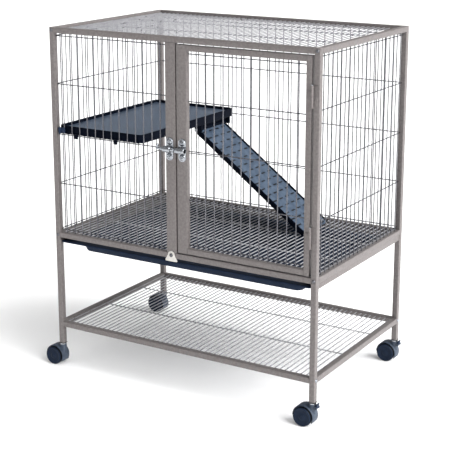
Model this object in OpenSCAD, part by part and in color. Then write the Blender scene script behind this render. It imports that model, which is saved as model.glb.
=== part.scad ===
// Ferret cage on casters: a square-tube frame with welded wire panels, a front door with a slide
// bolt, a slide-out litter tray, a platform with a ramp inside, and a wire shelf between the legs.
// Millimetres, +Z up, front towards -Y. Z = 0 is the floor under the wheels, and X = 0, Y = 0 is
// midway between the outermost points of the casters.

/* [Frame] */
// Width over the posts
cage_w = 787; // [720:1:860]
// Depth over the posts
cage_d = 508; // [460:1:580]
// Height of the cage, from the underside of its bottom rails to its top
cage_h = 565; // [520:1:640]
// Height of the underside of the cage's bottom rails above the floor
cage_z = 365; // [335:1:420]
// Width of the square tube
tube = 15; // [14:0.5:18]
// Wall of the square tube
tube_wall = 1; // [0.8:0.1:1.4]
// Distance of the wide front upright from the left side
divider_x = 360; // [330:1:400]
// Width of the wide front upright and of the door's latch stile
wide_tube = 30; // [28:1:36]
// Height of the lower ends of the legs above the floor
leg_z = 63; // [62:0.5:70]
// Height of the underside of the shelf's rails above the floor
shelf_z = 111; // [100:1:150]

/* [Wires] */
// Diameter of the wires
wire_d = 2.8; // [2.2:0.1:3.4]
// Spacing of the upright wires in the front, the back and the door
wall_pitch = 25.4; // [22:0.1:30]
// Spacing of the upright wires in the side walls
side_pitch = 23.05; // [20:0.05:28]
// Spacing of the wires in the floor, the top and the shelf
deck_pitch = 14.7; // [13:0.1:18]
// Distance of the outermost cross wires from the rails
edge_wire = 7.5; // [5:0.5:12]
// Least distance of the outermost deck wires from the rails
deck_edge = 3.5; // [2.5:0.5:6]
// Height of the floor wires above the underside of the bottom rails
floor_up = 12.5; // [9:0.5:13]

/* [Door] */
// Gap round the door at its top, its bottom and its latch side
door_gap = 3; // [2:0.5:4]
// Gap between the door and the right post, where the hinges sit
hinge_gap = 6; // [5.5:0.5:8]
// Height of a hinge
hinge_h = 54; // [45:1:64]
// Distance of each hinge's middle from the cage's nearer end
hinge_in = 113; // [90:1:140]
// Radius of the hinge knuckles
knuckle_r = 4; // [3.6:0.1:4.2]
// Radius of the hinge pins
hinge_pin_r = 2; // [1.5:0.1:2.4]
// Distance of the hinge pins in front of the tubes' front faces
hinge_out = 3.5; // [3.4:0.1:4]

/* [Latch] */
// Height of the bolt above the underside of the cage
latch_up = 285; // [200:1:400]
// Radius of the sliding bolt
bolt_r = 5; // [4.8:0.1:5.6]
// Distance of the bolt's middle in front of the tubes' front faces
bolt_out = 8.8; // [8.4:0.1:9]
// Wall of the sleeves that hold the bolt
sleeve_wall = 3; // [2.5:0.1:3.6]
// Radius of the ears of the latch plates
latch_ear_r = 11; // [9:0.5:12]
// Distance of the latch screws above and below the bolt
latch_screw_up = 18.5; // [17:0.5:22]
// Thickness of the latch plates and hinge leaves
plate_t = 1.5; // [1:0.1:2]
// Length of the bolt from its tail to its tip
bolt_len = 54; // [53:0.5:62]
// Length of the sleeve on the upright
sleeve_len = 21; // [16:0.5:22]

/* [Tray] */
// Gap between the bottom rails and the tray's rim
tray_drop = 8.5; // [8:0.5:12]
// Thickness of the tray's rim
tray_rim_t = 4; // [3:0.5:6]
// Depth of the tray below the top of its rim
tray_depth = 31.5; // [25:0.5:50]
// Wall of the tray
tray_wall = 2.5; // [2:0.1:4]
// Width of the tray's rim at its sides
tray_rim_side = 38; // [32:1:60]
// Width of the tray's rim at its front and back
tray_rim_end = 32; // [24:1:60]
// Lean of the tray's walls, as the inset of its bottom
tray_lean = 12; // [6:1:20]
// Corner radius of the tray's basin
tray_corner_r = 26; // [22:1:45]
// Gap between the tray's rim and each leg
tray_side_gap = 2; // [1:0.5:4]
// Thickness of the sheet of the tray's runners
runner_t = 1.2; // [1:0.1:1.8]
// Width of the runners' upper flange
runner_w = 42; // [38:1:50]

/* [Tray guard] */
// Distance of the guard's pivot from the left edge of the wide upright
guard_in = 15; // [12:1:22]
// Height of the guard's pivot above the underside of the bottom rail
guard_up = 9; // [7:0.5:11]
// Half width of the guard at its lower edge
guard_half_w = 18; // [12:0.5:22]
// Radius of the guard's round top
guard_top_r = 10.5; // [7:0.5:12]
// Radius of the guard's pivot
guard_pin_r = 2.5; // [2:0.1:3]

/* [Platform and ramp] */
// Width of the platform
platform_w = 268; // [230:1:290]
// Depth of the platform
platform_d = 454; // [420:1:465]
// Height of the platform's rim
platform_rim_h = 22; // [20:0.5:30]
// Wall of the platform's rim
platform_wall = 4; // [3:0.5:6]
// Depth of the platform's top below its rim
platform_dip = 8; // [5:0.5:10]
// Thickness of the platform's top
platform_t = 3; // [2:0.5:4]
// Corner radius of the platform
platform_corner_r = 16; // [10:1:25]
// Slope of the ramp at rest
ramp_angle = 36.25; // [32:0.25:40]
// Width of the ramp
ramp_w = 138; // [120:1:142]
// Distance of the ramp's front side from the cage's front
ramp_y = 304; // [250:1:310]
// Thickness of the ramp's tread
ramp_t = 3; // [2:0.5:4]
// Height of the ramp's sides above its tread
ramp_lip = 4; // [2:0.5:4.5]
// Depth of the ramp's sides below its tread
ramp_skirt = 9.5; // [7:0.5:14]
// Thickness of the ramp's sides
ramp_side_t = 4; // [3:0.5:6]
// Radius of the pin that the ramp turns on
ramp_pin_r = 2.5; // [2:0.1:3]
// Depth of the ramp's pin below the platform's rim
ramp_drop = 14.5; // [13:0.5:18]
// Distance of the ramp's pin inside the platform's right edge
ramp_in = 17.7; // [15:0.1:22]
// Depth of the ramp's tread below its pin's middle
tread_down = 3.5; // [2.6:0.1:5]
// Distance between the rows of grip slots in the ramp
slot_pitch = 23.2; // [12:0.1:40]
// Columns of grip slots in the ramp
slot_columns = 4; // [2:1:5]

/* [Casters] */
// Diameter of the wheels
wheel_d = 50; // [44:0.5:50]
// Width of one wheel
wheel_w = 16; // [13:0.5:18]
// Thickness of the hood's web between the wheels
web_t = 9.6; // [9:0.1:11]
// Distance of the wheels' axle behind the stem
caster_trail = 20; // [18:0.5:22]
// Gap between the wheels' treads and the hood
hood_gap = 1.2; // [0.8:0.1:2]
// Thickness of the hood over the wheels
hood_t = 2.3; // [1.8:0.1:3]
// How far the wheels stand out past the hood on each side
wheel_proud = 6.5; // [0:0.5:8]
// Radius of the hood's boss round the stem
boss_r = 9.5; // [9.2:0.1:11]
// Height of the top of the hood's boss above the floor
boss_top = 58; // [57:0.5:58.5]
// Radius of the stem's pin in the hood
stem_pin_r = 4; // [3.5:0.1:4.2]
// Radius of the axles
axle_r = 3; // [2.5:0.1:4]
// Reach of the brake pedals from the stem
brake_reach = 15.5; // [15:0.5:22]

/* [Fasteners] */
// Radius of the frame bolts
frame_bolt_r = 2.5; // [2:0.1:3]
// Radius of the heads of the frame bolts
frame_head_r = 4.6; // [4:0.1:6]
// Radius of the heads of the latch screws
latch_head_r = 8.5; // [6:0.1:9]
// Radius of the shanks of the latch screws
latch_shank_r = 2; // [1.5:0.1:2.4]
// Height of the heads of the frame bolts
frame_head_h = 3; // [2:0.1:4]
// Height of the heads of the latch screws
latch_head_h = 4.5; // [3:0.1:5]

/* [Hidden] */
$fn = 48;

// Colours
taupe = [0.60, 0.56, 0.55];
wire_grey = [0.78, 0.78, 0.80];
navy = [0.12, 0.16, 0.25];
slate = [0.42, 0.48, 0.56];
zinc = [0.72, 0.74, 0.76];
dark = [0.15, 0.15, 0.17];

// Clearances
butt = 0.05;        // between tubes that butt against each other
slip = 0.1;         // round a plug inside a tube
run = 0.05;         // radial, round a turning or sliding pin
seat = 0.3;         // between a loose piece and what it lies on
weld = 0.3;         // how far crossing wires sink into each other
over = 1;           // how far a cut runs past the face that it cuts

// Levels and planes of the frame
right_x = cage_w - tube;
back_y = cage_d - tube;
top_z = cage_z + cage_h;
sill_z = cage_z + tube;
head_z = top_z - tube;
wire_mid = tube / 2;
cross_in = wire_d - weld;
span_x = right_x - tube;
span_y = back_y - tube;
bolt_z = [cage_z + wire_mid, top_z - wire_mid];
corners = [[0, 0], [right_x, 0], [0, back_y], [right_x, back_y]];
plug_w = tube - 2 * tube_wall - 2 * slip;
plug_len = 18;
joiner_half = 30;
cap_t = 4;
bolt_hole_r = frame_bolt_r + slip;
bolt_short = 4;      // how far a frame bolt stops before its plug's end
frame_bolt_len = tube + plug_len - bolt_short;
deck_cross = [1 / 3, 2 / 3];      // places of the floor's and the top's cross wires
shelf_cross = [0.38, 0.73];       // places of the shelf's cross wires
shelf_wire_z = shelf_z + tube - 4;
shelf_bolt_z = shelf_z + wire_mid;

// Door
door_x0 = divider_x + wide_tube + door_gap;
door_x1 = right_x - hinge_gap;
door_z0 = sill_z + door_gap;
door_z1 = head_z - door_gap;
hinge_x = right_x - hinge_gap / 2;
hinge_y = -hinge_out;
hinge_zs = [cage_z + hinge_in, top_z - hinge_in];
knuckle_h = hinge_h / 4;
leaf_w = 14;
pin_head_r = hinge_pin_r + 0.9;
pin_head_t = 1.5;
leaf_back = 1.6;     // how far the post leaves' backs stay inside the post's edge

// Latch
latch_z = cage_z + latch_up;
latch_x = divider_x + wide_tube / 2 - 2;
keeper_x = door_x0 + wide_tube / 2 + 2;
sleeve_r = bolt_r + run + sleeve_wall;
bolt_tip_x = divider_x + wide_tube + 1.5;
bolt_tail_x = bolt_tip_x - bolt_len;
sleeve_in = 9;       // from the upright's right edge to the end of its sleeve
sleeve_x1 = divider_x + wide_tube - sleeve_in;
sleeve_x0 = sleeve_x1 - sleeve_len;
keeper_in = 2.5;     // from the door's edge to its sleeve
keeper_rest = 3;     // of the stile's width that its sleeve leaves free
keeper_x0 = door_x0 + keeper_in;
keeper_len = wide_tube - keeper_rest;
knob_stem_r = 2.6;
knob_x = bolt_tail_x + knob_stem_r + 1.4;
knob_up = 8;
knob_ball_r = knob_stem_r + 1.2;
tail_r = 3.2;        // the bolt is turned down behind its knob end
tail_len = 13;
keeper_play = 0.5;   // radial, round the bolt in the keeper
screw_len = 9;

// Tray
tray_z1 = cage_z - tray_drop;
tray_z0 = tray_z1 - tray_depth;
rim_z0 = tray_z1 - tray_rim_t;
tray_x0 = tube + tray_side_gap;
tray_x1 = right_x - tray_side_gap;
tray_y0 = 1;
tray_y1 = back_y - 3;
ledge_z1 = rim_z0 - seat;
runner_x0 = 1.5;
ledge_w = 26;
tray_rim_r = 6;
skin = 0.01;         // thickness of the two outlines that the basin is stretched between

// Tray guard
guard_x = divider_x + guard_in;
guard_z = cage_z + guard_up;
guard_t = 1.3;
washer_t = 0.6;
guard_y1 = -washer_t - seat;
guard_y0 = guard_y1 - guard_t;
guard_drop = guard_z - tray_z1 - 1;
guard_edge_h = 4;    // height of the guard's lower corners
guard_edge_in = 2;
guard_head_r = 5;
guard_head_h = 2.6;
guard_screw_in = 7;  // how far the screw reaches behind the rail's front

// Platform and ramp
mid_wire_z = (sill_z + head_z) / 2;
platform_z0 = mid_wire_z + wire_d / 2 + seat;
platform_z1 = platform_z0 + platform_rim_h;
platform_x0 = wire_mid + cross_in + wire_d / 2 + seat;
platform_x1 = platform_x0 + platform_w;
platform_y0 = platform_x0;
platform_y1 = platform_y0 + platform_d;
platform_under = platform_z1 - platform_dip - platform_t;
hook_w = 12;
hook_t = 2.2;
hook_drop = 6;
hook_gaps = [1, 6];               // the gaps between front wires that the front hooks hang in
side_hook_gaps = [1, 13];         // the same for the left wall
ramp_barrel_r = ramp_pin_r + 3;
ramp_axis_x = platform_x1 - ramp_in;
ramp_axis_z = platform_z0 - ramp_drop;
floor_z = cage_z + floor_up;
ramp_end_z = floor_z + wire_d / 2 + seat;
ramp_low = ramp_skirt + tread_down; // the sides' lower edge below the pin's middle
ramp_len = (ramp_axis_z - ramp_end_z - ramp_low * cos(ramp_angle)) / sin(ramp_angle);
ear_t = 6;
ear_half = 7;
ear_gap = 1;
ear_web_t = 6;
pin_flange_r = ramp_pin_r + 1.5;
pin_flange_t = 2;
slot_first = 13;
slot_depth = 1.2;
slot_fill = 0.52;    // length of a grip slot as a share of its lane
slot_w = 4;
front_span = divider_x - tube;
clamp_x = tube + wall_first(front_span, wall_pitch) / 2;
clamp_z = platform_z0 + platform_rim_h / 2;
clamp_screw_r = 2.5;
clamp_plate_t = 2;
clamp_plate_h = 14;
clamp_boss_r = 4.5;
clamp_boss_t = 4;
clamp_wing = [3, 5, 18];
screw_skin = 0.5;    // rim left behind the clamp screw's blind hole

// Casters
wheel_r = wheel_d / 2;
web_half = web_t / 2;
wheel_in = web_half + 0.5;
wheel_out = wheel_in + wheel_w;
hood_half = wheel_out - wheel_proud;
hood_r = wheel_r + hood_gap + hood_t;
flange_t = 2;
ring_r = 9;
socket_len = 30;
stem_top_r = 5;
pin_depth = 14;
stems = [for (c = corners) c + [wire_mid, wire_mid]];
pedal_hub_r = 2.6;
pedal_gap = 0.4;     // between the pedal's hub and the boss
pedal_x = boss_r + pedal_gap + pedal_hub_r;
pedal_down = 8;
pedal_z = boss_top - pedal_down;
ear_in = 6.7;
ear_out = 8.7;
trunnion_r = 1.5;
hood_open = -30;     // slope in degrees of the hood's lower edge below the stem
hood_web_r = wheel_r - 3;
boss_up = 8;         // from the axle up to the boss
boss_z = wheel_r + boss_up;
flange_out = 0.5;    // how far the sockets' flanges stand out from the legs
pedal_ear_h = 7;
ear_root = 5;        // how far the ears reach into the boss
ear_end = 3;         // how far they run past the trunnions
pedal_ear_x = [boss_r - ear_root, pedal_x + ear_end];
tread_r = 1.5;       // easing of the wheels' inner edges
face_round = 2.5;    // easing of the wheels' outer edges
face_rim = 6;        // how far in the outer face's raised rim goes
face_step = 0.9;
hub_in = 0.4;        // how far the hub stays inside the rim
hub_r = axle_r + 2.5;
wheel_bore_r = axle_r + 0.02;
pedal_t = 2.6;
pedal_rise = 11.5;

// The outermost points of the casters and the latch, which the origin lies midway between
low_x = wire_mid - caster_trail - hood_r;
high_x = cage_w - wire_mid + max(brake_reach, pedal_ear_x[1]);
low_y = min(wire_mid - wheel_out, -bolt_out - sleeve_r);
high_y = cage_d - wire_mid + wheel_out;
origin = [(low_x + high_x) / 2, (low_y + high_y) / 2, 0];

// How many wires fit a wall's span or a deck's, and how far the first one is from the span's end
function wire_count(span, pitch) = floor(span / pitch);
function deck_count(span) = floor((span - 2 * deck_edge) / deck_pitch) + 1;
function wall_first(span, pitch) = (span - (wire_count(span, pitch) - 1) * pitch) / 2;
function deck_first(span) = (span - (deck_count(span) - 1) * deck_pitch) / 2;

// Points on an arc, and the outline of a rectangle with round corners
function arc(x, y, r, a0, a1, n = 6) =
    [for (i = [0:n]) [x + r * cos(a0 + (a1 - a0) * i / n), y + r * sin(a0 + (a1 - a0) * i / n)]];
function round_rect(x0, y0, x1, y1, r) = concat(
    arc(x1 - r, y0 + r, r, -90, 0), arc(x1 - r, y1 - r, r, 0, 90),
    arc(x0 + r, y1 - r, r, 90, 180), arc(x0 + r, y0 + r, r, 180, 270));

// Everything is drawn from the left front post's outer corner and shifted to the origin
module place() {
    translate(-origin) children();
}

// Square tube, open at both ends; along is 0, 1 or 2 for X, Y or Z
module tube_bar(pos, size, along) {
    difference() {
        translate(pos) cube(size);
        translate(pos + [for (i = [0:2]) i == along ? -over : tube_wall])
            cube([for (i = [0:2]) size[i] + (i == along ? 2 * over : -2 * tube_wall)]);
    }
}

// A cylinder that starts at pos and runs along X, Y or Z
module rod_x(pos, r, len) {
    translate(pos) rotate([0, 90, 0]) cylinder(r = r, h = len);
}
module rod_y(pos, r, len) {
    translate(pos) rotate([-90, 0, 0]) cylinder(r = r, h = len);
}
module rod_z(pos, r, len) {
    translate(pos) cylinder(r = r, h = len);
}

// Eight-sided wire that starts at pos, with flats where it crosses another wire
module wire(pos, turn, len) {
    translate(pos) rotate(turn) rotate([0, 0, 22.5])
        cylinder(r = wire_d / 2 / cos(22.5), h = len, $fn = 8);
}
module wire_x(pos, len) {
    wire(pos, [0, 90, 0], len);
}
module wire_y(pos, len) {
    wire(pos, [-90, 0, 0], len);
}
module wire_z(pos, len) {
    wire(pos, [0, 0, 0], len);
}

// Heights of the cross wires of a wall panel
function cross_heights(z0, z1) = concat(
    [z0 + edge_wire], [for (q = [1:3]) z0 + (z1 - z0) * q / 4], [z1 - edge_wire]);

// Wall panel in the XZ plane: upright wires at y, cross wires on the side that dir points to
module wall_wires_x(x0, x1, z0, z1, y, dir) {
    span = x1 - x0;
    for (i = [0:wire_count(span, wall_pitch) - 1])
        wire_z([x0 + wall_first(span, wall_pitch) + i * wall_pitch, y, z0], z1 - z0);
    for (z = cross_heights(z0, z1))
        wire_x([x0, y + dir * cross_in, z], span);
}

// Wall panel in the YZ plane
module wall_wires_y(x, dir) {
    for (i = [0:wire_count(span_y, side_pitch) - 1])
        wire_z([x, tube + wall_first(span_y, side_pitch) + i * side_pitch, sill_z], head_z - sill_z);
    for (z = cross_heights(sill_z, head_z))
        wire_y([x + dir * cross_in, tube, z], span_y);
}

// Level grille: wires from front to back at height z, cross wires below them
module deck_wires(z, places) {
    for (i = [0:deck_count(span_x) - 1])
        wire_y([tube + deck_first(span_x) + i * deck_pitch, tube, z], span_y);
    for (p = places)
        wire_x([tube, tube + span_y * p, z - cross_in], span_x);
}

// Round-headed screw or bolt: its head's flat side is at Z = 0 and its shank runs down
module round_head(head_r, head_h, shank_r, len) {
    rotate_extrude() polygon([
        [0, -len], [shank_r, -len], [shank_r, 0], [head_r, 0], [head_r, head_h * 0.35],
        [head_r * 0.78, head_h * 0.8], [head_r * 0.4, head_h], [0, head_h]]);
}

// The same screw with its head towards the front, the back, the left or the right
module screw_at(pos, turn, head_r, head_h, shank_r, len) {
    translate(pos) rotate(turn) round_head(head_r, head_h, shank_r, len);
}
to_front = [90, 0, 0];
to_back = [-90, 0, 0];
to_left = [0, -90, 0];
to_right = [0, 90, 0];

// ---------------------------------------------------------------- frame

// Two posts of a front or back frame, drilled through for the frame bolts
module posts(y) {
    for (x = [0, right_x])
        difference() {
            tube_bar([x, y, cage_z], [tube, tube, cage_h], 2);
            for (z = bolt_z)
                rod_y([x + wire_mid, y - over, z], bolt_hole_r, tube + 2 * over);
        }
}

// Rail along X between the posts
module rail_x(y, z) {
    tube_bar([tube + butt, y, z], [span_x - 2 * butt, tube, tube], 0);
}

module front_frame() {
    color(taupe) place() {
        posts(0);
        rail_x(0, head_z);
        difference() {
            rail_x(0, cage_z);
            rod_y([guard_x, -over, guard_z], guard_pin_r + slip, tube_wall + 2 * over);
        }
        difference() {
            tube_bar([divider_x, 0, sill_z + butt], [wide_tube, tube, head_z - sill_z - 2 * butt], 2);
            for (s = [-1, 1])
                rod_y([latch_x, -over, latch_z + s * latch_screw_up], latch_shank_r + slip,
                      tube_wall + 2 * over);
        }
    }
}

module back_frame() {
    color(taupe) place() {
        posts(back_y);
        rail_x(back_y, head_z);
        rail_x(back_y, cage_z);
    }
}

module side_rails(x) {
    color(taupe) place()
        for (z = [cage_z, head_z])
            tube_bar([x, tube + butt, z], [tube, span_y - 2 * butt, tube], 1);
}

module left_side_rails() {
    side_rails(0);
}

module right_side_rails() {
    side_rails(right_x);
}

// Plug with a bore along X or Y, which takes a bolt in the end of a rail
module plug(pos, along) {
    difference() {
        translate(pos)
            cube([along == 0 ? plug_len : plug_w, along == 1 ? plug_len : plug_w, plug_w]);
        if (along == 0)
            rod_x(pos + [-over, plug_w / 2, plug_w / 2], frame_bolt_r + run, plug_len + 2 * over);
        else
            rod_y(pos + [plug_w / 2, -over, plug_w / 2], frame_bolt_r + run, plug_len + 2 * over);
    }
}

module rail_plugs() {
    inset = tube_wall + slip;
    color(dark) place() {
        for (x = [0, right_x], z = [cage_z, head_z], y = [tube + butt, back_y - butt - plug_len])
            plug([x + inset, y, z + inset], 1);
        for (y = [0, back_y], x = [tube + butt, right_x - butt - plug_len])
            plug([x, y + inset, shelf_z + inset], 0);
    }
}

module frame_bolt(pos, turn) {
    screw_at(pos, turn, frame_head_r, frame_head_h, frame_bolt_r, frame_bolt_len);
}

module frame_bolts() {
    color(dark) place()
        for (x = [wire_mid, cage_w - wire_mid], z = bolt_z) {
            frame_bolt([x, 0, z], to_front);
            frame_bolt([x, cage_d, z], to_back);
        }
}

module post_caps() {
    inset = tube_wall + slip;
    color(taupe) place()
        for (c = corners)
            translate([c[0] + inset, c[1] + inset, top_z - cap_t]) cube([plug_w, plug_w, cap_t]);
}

// ---------------------------------------------------------------- wire panels

module front_wires() {
    color(wire_grey) place()
        wall_wires_x(tube, divider_x, sill_z, head_z, wire_mid, 1);
}

module back_wires() {
    color(wire_grey) place()
        wall_wires_x(tube, right_x, sill_z, head_z, cage_d - wire_mid, -1);
}

module left_side_wires() {
    color(wire_grey) place() wall_wires_y(wire_mid, 1);
}

module right_side_wires() {
    color(wire_grey) place() wall_wires_y(cage_w - wire_mid, -1);
}

module top_grille() {
    color(wire_grey) place() deck_wires(top_z - wire_mid, deck_cross);
}

module floor_grille() {
    color(wire_grey) place() deck_wires(floor_z, deck_cross);
}

// ---------------------------------------------------------------- legs and shelf

module leg(i) {
    x = corners[i][0];
    y = corners[i][1];
    color(taupe) place()
        difference() {
            tube_bar([x, y, leg_z], [tube, tube, cage_z - leg_z], 2);
            rod_x([x - over, y + wire_mid, shelf_bolt_z], bolt_hole_r, tube + 2 * over);
        }
}

module left_front_leg() {
    leg(0);
}

module right_front_leg() {
    leg(1);
}

module left_back_leg() {
    leg(2);
}

module right_back_leg() {
    leg(3);
}

// Plugs that join each leg to the post above it, drilled for the lower frame bolts
module leg_joiners() {
    inset = tube_wall + slip;
    color(dark) place()
        for (c = corners)
            difference() {
                translate([c[0] + inset, c[1] + inset, cage_z - joiner_half])
                    cube([plug_w, plug_w, 2 * joiner_half]);
                rod_y([c[0] + wire_mid, c[1] - over, bolt_z[0]], bolt_hole_r, tube + 2 * over);
            }
}

module shelf_frame() {
    color(taupe) place() {
        for (y = [0, back_y])
            rail_x(y, shelf_z);
        for (x = [0, right_x])
            tube_bar([x, tube + butt, shelf_z], [tube, span_y - 2 * butt, tube], 1);
    }
}

module shelf_wires() {
    color(wire_grey) place() deck_wires(shelf_wire_z, shelf_cross);
}

module shelf_bolts() {
    color(zinc) place()
        for (y = [wire_mid, cage_d - wire_mid]) {
            frame_bolt([0, y, shelf_bolt_z], to_left);
            frame_bolt([cage_w, y, shelf_bolt_z], to_right);
        }
}

// ---------------------------------------------------------------- tray

// Channel under a side rail that the tray's rim slides in, as its outline in XZ
function runner_outline() = [
    [runner_x0, ledge_z1 - runner_t], [runner_x0 + ledge_w, ledge_z1 - runner_t],
    [runner_x0 + ledge_w, ledge_z1], [runner_x0 + runner_t, ledge_z1],
    [runner_x0 + runner_t, cage_z - runner_t], [runner_x0 + runner_w, cage_z - runner_t],
    [runner_x0 + runner_w, cage_z], [runner_x0, cage_z]];

module runner() {
    translate([0, back_y - butt, 0]) rotate([90, 0, 0])
        linear_extrude(span_y - 2 * butt) polygon(runner_outline());
}

module tray_runners() {
    color(taupe) place() {
        runner();
        translate([cage_w, 0, 0]) mirror([1, 0, 0]) runner();
    }
}

// Strip welded under the back rail, behind the tray, that ends the tray's travel inwards
module tray_stop() {
    z0 = ledge_z1 - runner_t;
    color(taupe) place()
        translate([tube + butt, back_y + butt, z0])
            cube([span_x - 2 * butt, runner_t, cage_z - butt - z0]);
}

// Basin between the rim and the bottom, with leaning walls; grow moves its walls outwards
module basin(z0, z1, grow) {
    x0 = tray_x0 + tray_rim_side - grow;
    x1 = tray_x1 - tray_rim_side + grow;
    y0 = tray_y0 + tray_rim_end - grow;
    y1 = tray_y1 - tray_rim_end + grow;
    low_r = tray_corner_r - tray_lean;
    hull() {
        translate([0, 0, z1 - skin]) linear_extrude(skin)
            polygon(round_rect(x0, y0, x1, y1, tray_corner_r));
        translate([0, 0, z0]) linear_extrude(skin)
            polygon(round_rect(x0 + tray_lean, y0 + tray_lean, x1 - tray_lean, y1 - tray_lean, low_r));
    }
}

module tray() {
    color(navy) place()
        difference() {
            union() {
                translate([0, 0, rim_z0]) linear_extrude(tray_rim_t)
                    polygon(round_rect(tray_x0, tray_y0, tray_x1, tray_y1, tray_rim_r));
                basin(tray_z0, rim_z0 + tray_rim_t / 2, tray_wall);
            }
            basin(tray_z0 + tray_wall, tray_z1 + over, 0);
        }
}

// Flap with a round top and a wide lower edge
function guard_outline() = concat(
    arc(0, 0, guard_top_r, 0, 180, 10),
    [[-guard_half_w, guard_edge_h - guard_drop], [guard_edge_in - guard_half_w, -guard_drop],
     [guard_half_w - guard_edge_in, -guard_drop], [guard_half_w, guard_edge_h - guard_drop]]);

module tray_guard() {
    color(zinc) place()
        difference() {
            translate([guard_x, guard_y1, guard_z]) rotate([90, 0, 0])
                linear_extrude(guard_t) polygon(guard_outline());
            rod_y([guard_x, guard_y0 - over, guard_z], guard_pin_r + run, guard_t + 2 * over);
        }
}

module tray_guard_pivot() {
    head_y = guard_y0 - seat;
    color(zinc) place() {
        screw_at([guard_x, head_y, guard_z], to_front, guard_head_r, guard_head_h, guard_pin_r,
                 guard_screw_in - head_y);
        rod_y([guard_x, -washer_t, guard_z], guard_head_r - 0.5, washer_t);
    }
}

// ---------------------------------------------------------------- platform and ramp

// Hook under the platform's rim: its lip hangs outside the middle cross wire. The first number is
// the distance from the wall's outer face, and the second is the height.
lip_in = wire_mid + cross_in - wire_d / 2 - seat;
function hook_outline() = [
    [lip_in - hook_t, mid_wire_z - wire_d / 2 - hook_drop], [lip_in, mid_wire_z - wire_d / 2 - hook_drop],
    [lip_in, platform_z0], [platform_x0 + platform_wall, platform_z0],
    [platform_x0 + platform_wall, platform_z0 + hook_t], [lip_in - hook_t, platform_z0 + hook_t]];

// Hooks in the front wall and in the left wall, midway between two upright wires
module front_hook(gap) {
    mid = tube + wall_first(front_span, wall_pitch) + (gap + 0.5) * wall_pitch;
    translate([mid - hook_w / 2, 0, 0]) rotate([90, 0, 90]) linear_extrude(hook_w)
        polygon(hook_outline());
}
module side_hook(gap) {
    mid = tube + wall_first(span_y, side_pitch) + (gap + 0.5) * side_pitch;
    translate([0, mid + hook_w / 2, 0]) rotate([90, 0, 0]) linear_extrude(hook_w)
        polygon(hook_outline());
}

// Ear under the platform that holds one end of the ramp's pin
module ramp_ear(y) {
    z0 = ramp_axis_z - ramp_barrel_r;
    difference() {
        translate([ramp_axis_x - ear_half, y, z0])
            cube([platform_x1 - platform_wall / 2 - ramp_axis_x + ear_half, ear_t,
                  platform_under + platform_t / 3 - z0]);
        rod_y([ramp_axis_x, y - over, ramp_axis_z], ramp_pin_r + run, ear_t + 2 * over);
    }
}

// Wall above the ramp's barrel that joins the two ears
module ear_web() {
    z0 = ramp_axis_z + ramp_barrel_r + 2 * seat;
    translate([ramp_axis_x - ear_web_t / 2, ramp_y - ear_gap - ear_t / 2, z0])
        cube([ear_web_t, ramp_w + 2 * ear_gap + ear_t, platform_under + platform_t / 3 - z0]);
}

// The platform's outline, drawn in by an inset
module platform_outline(inset) {
    polygon(round_rect(platform_x0 + inset, platform_y0 + inset, platform_x1 - inset,
                       platform_y1 - inset, platform_corner_r - inset));
}

module platform() {
    color(slate) place() {
        difference() {
            translate([0, 0, platform_z0]) linear_extrude(platform_rim_h) platform_outline(0);
            translate([0, 0, platform_z1 - platform_dip]) linear_extrude(platform_dip + over)
                platform_outline(platform_wall);
            translate([0, 0, platform_z0 - over]) linear_extrude(platform_under - platform_z0 + over)
                platform_outline(platform_wall);
            rod_y([clamp_x, platform_y0 - over, clamp_z], clamp_screw_r + slip,
                  over + platform_wall - screw_skin);
        }
        for (gap = hook_gaps)
            front_hook(gap);
        for (gap = side_hook_gaps)
            side_hook(gap);
        ramp_ear(ramp_y - ear_gap - ear_t);
        ramp_ear(ramp_y + ramp_w + ear_gap);
        ear_web();
    }
}

module ramp_pin() {
    color(zinc) place() {
        len = ramp_w + 2 * ear_gap + 2 * ear_t;
        rod_y([ramp_axis_x, ramp_y - ear_gap - ear_t, ramp_axis_z], ramp_pin_r, len);
        rod_y([ramp_axis_x, ramp_y - ear_gap - ear_t - pin_flange_t, ramp_axis_z], pin_flange_r,
              pin_flange_t);
    }
}

// Rows of grip slots along the tread, in the ramp's own frame
module grip_slots() {
    last = floor((ramp_len - slot_first - slot_w) / slot_pitch);
    lane = (ramp_w - 2 * ramp_side_t) / slot_columns;
    for (i = [0:last], c = [0:slot_columns - 1])
        translate([slot_first + i * slot_pitch - slot_w / 2, ramp_side_t + (c + (1 - slot_fill) / 2) * lane,
                   -tread_down - slot_depth])
            cube([slot_w, slot_fill * lane, slot_depth + over]);
}

// The ramp in its own frame: X runs down the slope from the pin's middle, Z is square to the tread
module ramp_body() {
    difference() {
        union() {
            translate([0, 0, -tread_down - ramp_t]) cube([ramp_len, ramp_w, ramp_t]);
            for (y = [0, ramp_w - ramp_side_t])
                translate([0, y, -ramp_low]) cube([ramp_len, ramp_side_t, ramp_skirt + ramp_lip]);
            rod_y([0, 0, 0], ramp_barrel_r, ramp_w);
        }
        rod_y([0, -over, 0], ramp_pin_r + run, ramp_w + 2 * over);
        grip_slots();
    }
}

module ramp() {
    color(slate) place()
        translate([ramp_axis_x, ramp_y, ramp_axis_z]) rotate([0, ramp_angle, 0]) ramp_body();
}

// Thumb screw that clamps the platform to the front wires beside the left post
module platform_knob() {
    plate_y = wire_mid - wire_d / 2 - seat - clamp_plate_t;
    first = wall_first(front_span, wall_pitch);
    color(navy) place() {
        translate([tube + 1.5, plate_y, clamp_z - clamp_plate_h / 2])
            cube([first + 2, clamp_plate_t, clamp_plate_h]);
        rod_y([clamp_x, plate_y, clamp_z], clamp_screw_r,
              platform_y0 + platform_wall - screw_skin - seat - plate_y);
        rod_y([clamp_x, plate_y - clamp_boss_t, clamp_z], clamp_boss_r, clamp_boss_t);
        translate([clamp_x - clamp_wing[0] / 2, plate_y - clamp_boss_t - 2, clamp_z - clamp_wing[2] / 2])
            cube(clamp_wing);
    }
}

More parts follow.
